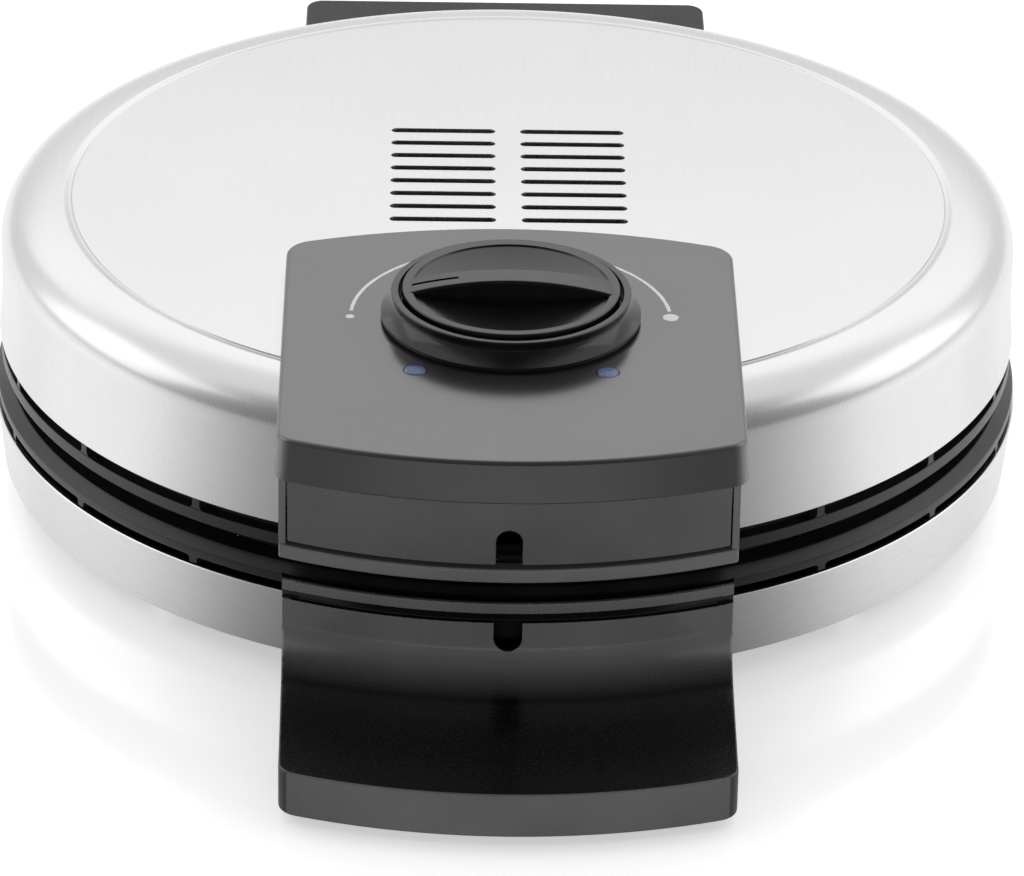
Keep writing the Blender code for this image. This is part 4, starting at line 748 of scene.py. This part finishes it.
hinge_plastic = moulded("hinge_plastic", hinge_black, hinge_worn, (0.34, 0.48), 0.03, 0.0005, 0.00001,
                        Specular_IOR_Level=0.3)
block = risen(hinge_plan(), cover_level, ring_high)
ears = [knuckle(ring_high - knuckle_radius, *sorted((side * hinge_half, side * (hinge_half - ear_width))))
        for side in (-1, 1)]
block = worked(worked(block, ears, "UNION"), [risen(hinge_plan(), 0, 0.05)], "INTERSECT")
inside = lathe([(0, -0.01), (base_inner_wall, -0.01), (base_inner_wall, 0.05), (0, 0.05)])
low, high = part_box("cable_inlet")
bush_middle = (low + high) / 2 - body_middle
bush_radius = (high.x - low.x) / 2
seat = lathe([(0, 0.1), (bush_radius - 0.001, 0.1), (bush_radius - 0.001, 0.14), (0, 0.14)], 48)
bmesh.ops.transform(seat, matrix=Matrix.Translation((bush_middle.x, 0, bush_middle.z))
                    @ Matrix.Rotation(-math.pi / 2, 4, "X"), verts=seat.verts)
block = softened(worked(block, [inside, seat]), 0.0006, 3, math.radians(50),
                 lambda edge: all(vert.co.y > hinge_front + 0.02 for vert in edge.verts))
fitted("hinge_block_base", block, "base", "dark_plastic", hinge_plastic, "hinge_base")

length = high.y - low.y
bush = [(0.0032, 0), (bush_radius - 0.0012, 0)]
for rib in range(bush_ribs):
    start = length * (rib + 1) / (bush_ribs + 2)
    bush += [(bush_radius - 0.0012, start), (bush_radius - 0.0018, start + 0.0004)]
bush += [(bush_radius - 0.0012, length - 0.0012), (bush_radius, length - 0.0012),
         (bush_radius - 0.0004, length), (0.0032, length)]
bush = softened(lathe(bush, 48), bush_edge)
bmesh.ops.transform(bush, matrix=Matrix.Translation((bush_middle.x, low.y - body_middle.y, bush_middle.z))
                    @ Matrix.Rotation(-math.pi / 2, 4, "X"), verts=bush.verts)
fitted("mains_bush", bush, "base", "rubber", foot_rubber, "cable_inlet")


# Trim ring of the lid: the same kind of moulding, upside down, with its windows above
# the band. At the front, behind the slot, it has an opening and no post.
lid_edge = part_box("lid_shell")[0].z
upper_band = {"foot": 0.03185, "top": 0.03515, "radius": 0.1172, "chamfer": 0.0006}
lid_skirt_top = 0.05
upper_ledge = upper_rim + plate_flange + slack

band = lathe([
    (ledge_radius, upper_ledge), (seat_radius, upper_ledge), (seat_radius, upper_band["foot"]),
    (upper_band["radius"] - upper_band["chamfer"], upper_band["foot"]),
    (upper_band["radius"], upper_band["foot"] + upper_band["chamfer"]),
    (upper_band["radius"], upper_band["top"]), (skirt_radius, upper_band["top"]),
    (skirt_radius, lid_skirt_top), (skirt_radius - skirt_wall, lid_skirt_top),
    (skirt_radius - skirt_wall, upper_ledge + ledge_thickness), (ledge_radius, upper_ledge + ledge_thickness)])
band = softened(band, 0.00025, 2, math.radians(50))
band = worked(band, posts(upper_band["top"], lid_edge - slack, upper_band["radius"] - 0.0002, 1), "UNION")
band = worked(band, [brick(front_notch, (0, -skirt_radius, lid_edge))])
fitted("lid_band", band, "lid", "trim_plastic", trim_plastic, "lid_trim_ring")


# Lid shell: stainless sheet brushed from front to back and then pressed, with a flat
# disc, a fine groove and bead round it, a full shoulder and two columns of air slots.
disc_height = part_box("lid_shell")[1].z
disc_radius = 0.1004
side_radius = 0.1168
flare_height = 0.009
shoulder_drop = 0.0099
shoulder_power = 2.25
shoulder_steps = 18
groove_step = 0.0004
groove_width = 0.0022
groove_depth = 0.00045
groove_steps = 8
vent_half_width = 0.00115
vent_reach = 0.01215 - vent_half_width
vent_pitch = 0.00702
vent_column = 0.0151
vent_first = -0.01497
vent_rows = 8
panel_half = 0.05
panel_front_end = (-0.1463, 0.1275, 0.005)
panel_back_end = (-0.03, 0.138, 0.007)


def smaller(end, way, inset):
    """A bowed end moved inwards all round."""
    edge, bow, corner = end
    return (edge - way * inset, bow - inset, max(corner - inset, 0.001))


def lid_side(grow):
    """Profile of the lid from its lower edge to the edge of the disc, made larger by grow."""
    points = [(housing_radius + grow, lid_edge), (side_radius + grow, lid_edge + flare_height)]
    wide = side_radius - disc_radius + grow
    for step in range(shoulder_steps + 1):
        angle = math.pi / 2 * step / shoulder_steps
        out = wide * max(0, math.cos(angle)) ** (2 / shoulder_power)
        up = (shoulder_drop + grow) * math.sin(angle) ** (2 / shoulder_power)
        points.append((disc_radius + out, disc_height - shoulder_drop + up))
    return points


def pressed_place(tree):
    """A point's place on the flat blank, from which the lid was pressed."""
    place = own_place(tree)
    flat = node(tree, "VectorMath", {0: place, 1: (1, 1, 0)}, operation="MULTIPLY").outputs[0]
    radius = node(tree, "VectorMath", {0: flat}, operation="LENGTH").outputs["Value"]
    height = node(tree, "SeparateXYZ", {0: place}).outputs["Z"]
    drop = node(tree, "Math", {0: disc_height, 1: height}, operation="SUBTRACT").outputs[0]
    grown = node(tree, "Math", {0: drop, 1: radius}, operation="DIVIDE").outputs[0]
    scale = node(tree, "Math", {0: grown, 1: 1.0}, operation="ADD").outputs[0]
    return node(tree, "VectorMath", {0: flat, "Scale": scale}, operation="SCALE").outputs[0]


lid_steel = brushed("lid_steel", pressed_place, (brush_width, brush_length, 0))
outer = lid_side(0)[:-1]
groove = []
for step in range(groove_steps + 1):
    share = step / groove_steps
    groove.append((disc_radius + groove_width - (groove_width - groove_step) * share,
                   disc_height - groove_depth * (1 - math.cos(math.pi * share)) / 2))
groove += [(disc_radius + groove_step * 0.4, disc_height - groove_depth * 0.7), (disc_radius, disc_height),
           (0, disc_height)]
outer = [point for point in outer if point[0] > disc_radius + groove_width]
inner = [(0, disc_height - sheet)] + [(x, y) for x, y in reversed(lid_side(-sheet))]
dome = lathe(outer + groove + inner)
port = bowed(panel_half - 0.007, smaller(panel_front_end, -1, 0.007), smaller(panel_back_end, 1, 0.007))
cuts = [risen(port, lid_edge - 0.002, disc_height + 0.002), brick(front_notch, (0, -housing_radius, lid_edge))]
for x in (-vent_column, vent_column):
    for row in range(vent_rows):
        y = vent_first + row * vent_pitch
        vent = drawn((x - vent_reach, y - vent_half_width), (x + vent_reach, y - vent_half_width),
                     (x + vent_reach, y, math.pi), (x - vent_reach, y + vent_half_width),
                     (x - vent_reach, y, math.pi))
        cuts.append(risen(vent, disc_height - 0.003, disc_height + 0.002))
dome = worked(dome, cuts)
softened(dome, 0.00015, 2, math.radians(60), lambda edge: all(
    abs(vert.co.z - disc_height) < 0.00005 and abs(vert.co.x) < 0.03 and vert.co.y > vent_first - 0.002
    for vert in edge.verts))
fitted("lid_dome", dome, "lid", "brushed_steel", lid_steel, "lid_shell")


# Hinge block of the lid: a black moulding fitted to the shoulder, with the knuckle that
# turns between the ears of the base.
hinge_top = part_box("hinge_lid")[1].z
hinge_gap = 0.0012
hinge_edge = 0.001


def lid_space():
    """The space that the lid takes, with a little room, which cuts what is fitted to it."""
    return lathe([(0, lid_edge - 0.01), (housing_radius + slack, lid_edge - 0.01)] + lid_side(slack)
                 + [(0, disc_height + slack)])


block = risen(hinge_plan(), parting + knuckle_radius + hinge_gap, hinge_top)
softened(block, hinge_edge, 4, chosen=lambda edge: all(vert.co.z > hinge_top - 0.0001 for vert in edge.verts))
half = hinge_half - ear_width - slack
block = worked(block, [knuckle(parting + knuckle_radius + 2 * hinge_gap, -half, half)], "UNION")
block = worked(block, [lid_space()])
fitted("hinge_block_lid", block, "lid", "dark_plastic", hinge_plastic, "hinge_lid")


# Front of the lid: a curved wall with an upright slot, held in a frame of two cheeks and
# a lip. All of it is black and moulded with a fine grain.
frame_half = 0.0502
cheek = 0.0016
lid_inner_wall = 0.1178
panel_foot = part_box("control_panel")[0].z
panel_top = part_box("control_panel")[1].z
wall_slot_half = 0.00285
wall_slot_top = lid_edge + 0.0063
wall_gap = 0.0008
front_black = (0.062, 0.062, 0.063, 1)
front_grey = (0.08, 0.08, 0.081, 1)
frame_dark = (0.095, 0.095, 0.096, 1)
frame_light = (0.12, 0.12, 0.121, 1)


def slab(inner, outer, half, low, high):
    """Part of an upright ring at the front of the body."""
    near = math.asin(half / inner)
    far = math.asin(half / outer)
    plan = drawn((-half, -outer * math.cos(far)), (0, 0, 2 * far), (half, -inner * math.cos(near)),
                 (0, 0, -2 * near))
    return risen(plan, low, high)


frame_plastic = moulded("frame_plastic", frame_dark, frame_light, (0.2, 0.28), 0.03, 0.00045, 0.000003, IOR=1.6)
front_plastic = moulded("front_plastic", front_black, front_grey, (0.24, 0.32), 0.03, 0.00045, 0.000003,
                        IOR=1.6)
wall = slab(lid_inner_wall, wall_radius, frame_half - cheek - slack, upper_band["top"] + wall_gap,
            panel_foot - slack)
wall = worked(wall, [arched_slot(wall_slot_half, lid_edge - 0.005, wall_slot_top, 0.11, 0.13)])
fitted("front_insert", softened(wall, 0.00035, 2, math.radians(60)), "lid", "dark_plastic",
       front_plastic, "front_wall")

lip = softened(slab(lid_inner_wall, lip_radius, frame_half, upper_band["foot"], upper_band["top"]), 0.0005, 3)
cheeks = []
for side in (-1, 1):
    far = -math.sqrt((lip_radius - slack) ** 2 - frame_half ** 2)
    near = -math.sqrt(lid_inner_wall ** 2 - frame_half ** 2)
    low = upper_band["top"] - 0.0015
    cheeks.append(softened(brick(
        (cheek, near - far, panel_foot - slack - low),
        (side * (frame_half - cheek / 2), (near + far) / 2, (panel_foot - slack + low) / 2)), 0.0002))
fitted("front_frame", worked(lip, cheeks, "UNION"), "lid", "dark_plastic", frame_plastic, "handle_frame")


# Control panel: a satin dark grey cap over the front of the lid, drafted outwards to its
# foot, which is also the grip. It is printed with the knob's scale: an arc and two dots.
panel_draft = 0.0006
panel_edge = 0.001
panel_wall = 0.0025
knob_y = -0.0764
lens_x = 0.02085
lens_y = -0.10315
lens_radius = 0.0024
panel_dark = (0.008, 0.008, 0.0082, 1)
panel_light = (0.013, 0.013, 0.0133, 1)
# Painted light: the top face is painted paler than the skirt, as if lit from above.
panel_painted_lit_dark = (0.022, 0.022, 0.0224, 1)
panel_painted_lit_light = (0.032, 0.032, 0.0325, 1)
print_white = (0.9, 0.9, 0.89, 1)
print_worn = (0.8, 0.8, 0.79, 1)
scale_radius = 0.0352
scale_line = 0.0008
scale_from = math.radians(6.2)
scale_turn = math.radians(169.7)
print_height = 0.00004
print_dots = ((-0.0353, -0.0769, 0.00095), (0.0352, -0.0756, 0.00175))


def at_painted_lit_top(tree, place):
    """1 on the top face of the panel, painted paler than its skirt as painted light from above; it fades to the
    skirt's tone down the rounded edge.
    """
    height = node(tree, "SeparateXYZ", {0: place}).outputs["Z"]
    return between(tree, height, 0, 1, panel_top - panel_edge, panel_top - panel_edge / 3)


# The top zone of this finish is painted light.
panel_satin = moulded("panel_satin", panel_dark, panel_light, (0.18, 0.23), 0.04, 0.0004, 0.000002,
                      zone=(at_painted_lit_top, panel_painted_lit_dark, panel_painted_lit_light), IOR=2.05)
panel = risen(bowed(panel_half, panel_front_end, panel_back_end), panel_foot, panel_top)
middle_y = (panel_front_end[0] + panel_back_end[0]) / 2
foot_verts = [vert for vert in panel.verts if vert.co.z < panel_foot + 0.0001]
growth = (1 + panel_draft / panel_half, 1 - 2 * panel_draft / (panel_front_end[0] - panel_back_end[0]), 1)
bmesh.ops.scale(panel, vec=growth, space=Matrix.Translation((0, -middle_y, 0)), verts=foot_verts)
softened(panel, panel_edge, 5, chosen=lambda edge: all(vert.co.z > panel_top - 0.0001 for vert in edge.verts))
softened(panel, 0.0004, 3, chosen=lambda edge: all(vert.co.z < panel_foot + 0.0001 for vert in edge.verts))
hollow = risen(bowed(panel_half - panel_wall, smaller(panel_front_end, -1, panel_wall),
                     smaller(panel_back_end, 1, panel_wall)), panel_foot - 0.01, panel_top - panel_wall)
panel = worked(worked(panel, [hollow]), [lid_space()])
holes = [lathe([(0, 0.06), (lens_radius + 0.0002, 0.06), (lens_radius + 0.0002, 0.08), (0, 0.08)], 48,
               (side * lens_x, lens_y)) for side in (-1, 1)]
fitted("grip_panel", worked(panel, holes), "lid", "satin_panel", panel_satin, "control_panel")

scale_ink = moulded("scale_ink", print_worn, print_white, (0.45, 0.6), 0.004, 0.0003, 0.00001)
near = scale_radius - scale_line / 2
far = scale_radius + scale_line / 2
last = scale_from + scale_turn
ink = risen(drawn(
    (far * math.cos(scale_from), knob_y + far * math.sin(scale_from)), (0, knob_y, scale_turn),
    (near * math.cos(last), knob_y + near * math.sin(last)), (0, knob_y, -scale_turn)),
    panel_top - print_height / 2, panel_top + print_height)
for x, y, radius in print_dots:
    dot = risen(drawn((x + radius, y), (x, y, math.pi), (x, y, math.pi)), panel_top - print_height / 2,
                panel_top + print_height)
    spot = bpy.data.meshes.new("spot")
    dot.to_mesh(spot)
    dot.free()
    ink.from_mesh(spot)
    bpy.data.meshes.remove(spot)
fitted("scale_print", ink, "lid", "satin_panel", scale_ink)


# Pilot lamps: two small tinted lenses, slightly domed, set flush in the panel.
lens_deep = (0.045, 0.07, 0.16, 1)
lens_pale = (0.13, 0.19, 0.36, 1)
lens_steps = 6
lens_proud = 0.0004

lens_tint = moulded("lens_tint", lens_deep, lens_pale, (0.3, 0.4), 0.0012, 0.0005, 0.00001)
for side, name in ((-1, "left"), (1, "right")):
    profile = [(0, panel_top - 0.002), (lens_radius, panel_top - 0.002)]
    for step in range(lens_steps + 1):
        angle = math.pi / 2 * step / lens_steps
        profile.append((lens_radius * math.cos(angle), panel_top + lens_proud * math.sin(angle)))
    profile[-1] = (0, panel_top + lens_proud)
    fitted("pilot_lens_" + name, lathe(profile, 40, (side * lens_x, lens_y)), "lid", "lens_clear",
           lens_tint, "lamp_lens_" + name)


# Knob: a hollow-sided skirt with a flange and a flat rim, and a cap with a raised ring, a
# dished floor and an arched grip bar with an engraved pointer.
knob_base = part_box("knob_skirt")[0].z
rim_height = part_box("knob_skirt")[1].z
flange_radius = 0.0286
flange_height = 0.0009
rim_radius = 0.0264
rim_inner = 0.0247
waist = 0.0019
waist_steps = 14
cap_radius = 0.0239
cap_ring = 0.002
ring_height = rim_height + 0.0008
dish_height = ring_height - 0.0025
bowl_wall = 0.0004
bowl_steps = 10
bar_reach = 0.0226
bar_end_half = 0.0038
bar_waist_half = 0.0032
bar_arch = 0.0029
bar_cuts = 19
bar_round = 0.0006
pointer_start = 0.0116
pointer_end = 0.0218
pointer_half = 0.0005
pointer_depth = 0.0004
knob_black = (0.003, 0.003, 0.0032, 1)
knob_grey = (0.006, 0.006, 0.0063, 1)
knob_sides = 144

knob_gloss = moulded("knob_gloss", knob_black, knob_grey, (0.12, 0.18), 0.01, 0.0005, 0.0000012)
flange_top = knob_base + flange_height
profile = [(0.0033, knob_base), (flange_radius, knob_base), (flange_radius, flange_top)]
for step in range(1, waist_steps):
    share = step / waist_steps
    straight = flange_radius + (rim_radius - flange_radius) * share
    profile.append((straight - waist * math.sin(math.pi * share),
                    flange_top + (rim_height - 0.0004 - flange_top) * share))
profile += [(rim_radius, rim_height - 0.0004), (rim_radius, rim_height), (rim_inner, rim_height),
            (rim_inner, knob_base + 0.0018), (0.0033, knob_base + 0.0018)]
skirt = softened(lathe(profile, knob_sides, (0, knob_y)), 0.00025, 3, math.radians(60))
fitted("knob_skirt_turned", skirt, "knob", "knob_plastic", knob_gloss, "knob_skirt")


def along_bar(bm, low, rise):
    """Bend a straight bar to the arch."""
    for vert in bm.verts:
        share = vert.co.x / bar_reach
        if vert.co.z > low:
            vert.co.z += rise * (1 - share ** 2)


cap_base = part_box("knob_cap")[0].z
cap_inner = cap_radius - cap_ring
profile = [(0, cap_base), (cap_radius, cap_base), (cap_radius, ring_height), (cap_inner, ring_height)]
for step in range(bowl_steps, -1, -1):
    share = step / bowl_steps
    profile.append(((cap_inner - bowl_wall) * share,
                    dish_height + (ring_height - bowl_wall - dish_height) * share ** 2))
cap = softened(lathe(profile, knob_sides), 0.0003, 3, math.radians(60))
bar_low = dish_height - 0.001
bar = brick((2 * bar_reach, 2 * bar_end_half, ring_height - bar_low), (0, 0, (ring_height + bar_low) / 2))
bmesh.ops.subdivide_edges(bar, edges=[edge for edge in bar.edges
                                      if abs(edge.verts[0].co.x - edge.verts[1].co.x) > bar_reach],
                          cuts=bar_cuts, use_grid_fill=True)
for vert in bar.verts:
    share = vert.co.x / bar_reach
    half = bar_waist_half + (bar_end_half - bar_waist_half) * share ** 2
    vert.co.y = math.copysign(half, vert.co.y)
along_bar(bar, bar_low + 0.0001, bar_arch)
softened(bar, bar_round, 4, math.radians(50), lambda edge: all(vert.co.z > bar_low + 0.0001 for vert in edge.verts))
cap = worked(cap, [bar], "UNION")
length = pointer_end - pointer_start
groove = brick((length, 2 * pointer_half, 0.002), (-(pointer_end + pointer_start) / 2, 0,
                                                    ring_height - pointer_depth + 0.001))
bmesh.ops.subdivide_edges(groove, edges=[edge for edge in groove.edges
                                         if abs(edge.verts[0].co.x - edge.verts[1].co.x) > length / 2],
                          cuts=bar_cuts, use_grid_fill=True)
along_bar(groove, 0, bar_arch)
cap = worked(cap, [groove])
bmesh.ops.translate(cap, vec=(0, knob_y, 0), verts=cap.verts)
fitted("knob_cap_turned", cap, "knob", "knob_plastic", knob_gloss, "knob_cap")


# Inner works, mostly out of sight: sheet reflectors, heating elements, screws, pins, the
# thermostat, cut-out, lamps, terminal block and wires. Their solids are shown as made.
zinc_dark = (0.34, 0.34, 0.33, 1)
zinc_light = (0.6, 0.6, 0.59, 1)
tinted_dark = (0.10, 0.09, 0.08, 1)
tinted_light = (0.3, 0.26, 0.21, 1)
sheet_dark = (0.30, 0.30, 0.295, 1)
sheet_light = (0.5, 0.5, 0.49, 1)
clay_dark = (0.52, 0.49, 0.42, 1)
clay_light = (0.72, 0.69, 0.61, 1)
sleeve_dark = (0.42, 0.4, 0.35, 1)
sleeve_light = (0.66, 0.64, 0.58, 1)

zinc = moulded("zinc_plate", zinc_dark, zinc_light, (0.28, 0.42), 0.003, 0.0003, 0.00001, 1.0)
heat_tint = moulded("heat_tint", tinted_dark, tinted_light, (0.35, 0.55), 0.012, 0.0006, 0.00002, 1.0)
dull_sheet = moulded("dull_sheet", sheet_dark, sheet_light, (0.3, 0.45), 0.02, 0.001, 0.00002, 1.0)
fired_clay = moulded("fired_clay", clay_dark, clay_light, (0.7, 0.85), 0.004, 0.0004, 0.00003)
glass_sleeve = moulded("glass_sleeve", sleeve_dark, sleeve_light, (0.6, 0.8), 0.0008, 0.0004, 0.00006)
coated(zinc, "hinge_pin_left", "hinge_pin_right", "thermostat_shaft",
       *[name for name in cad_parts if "_screw_" in name])
coated(heat_tint, "lower_heater", "upper_heater")
coated(dull_sheet, "lower_reflector", "upper_reflector")
coated(fired_clay, "terminal_block", "thermostat_body", "safety_cutout", "lamp_left", "lamp_right")
coated(glass_sleeve, *[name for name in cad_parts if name.endswith(("_wire", "_wire_left", "_wire_right"))])
coated(cover_plastic, "grip_cover")
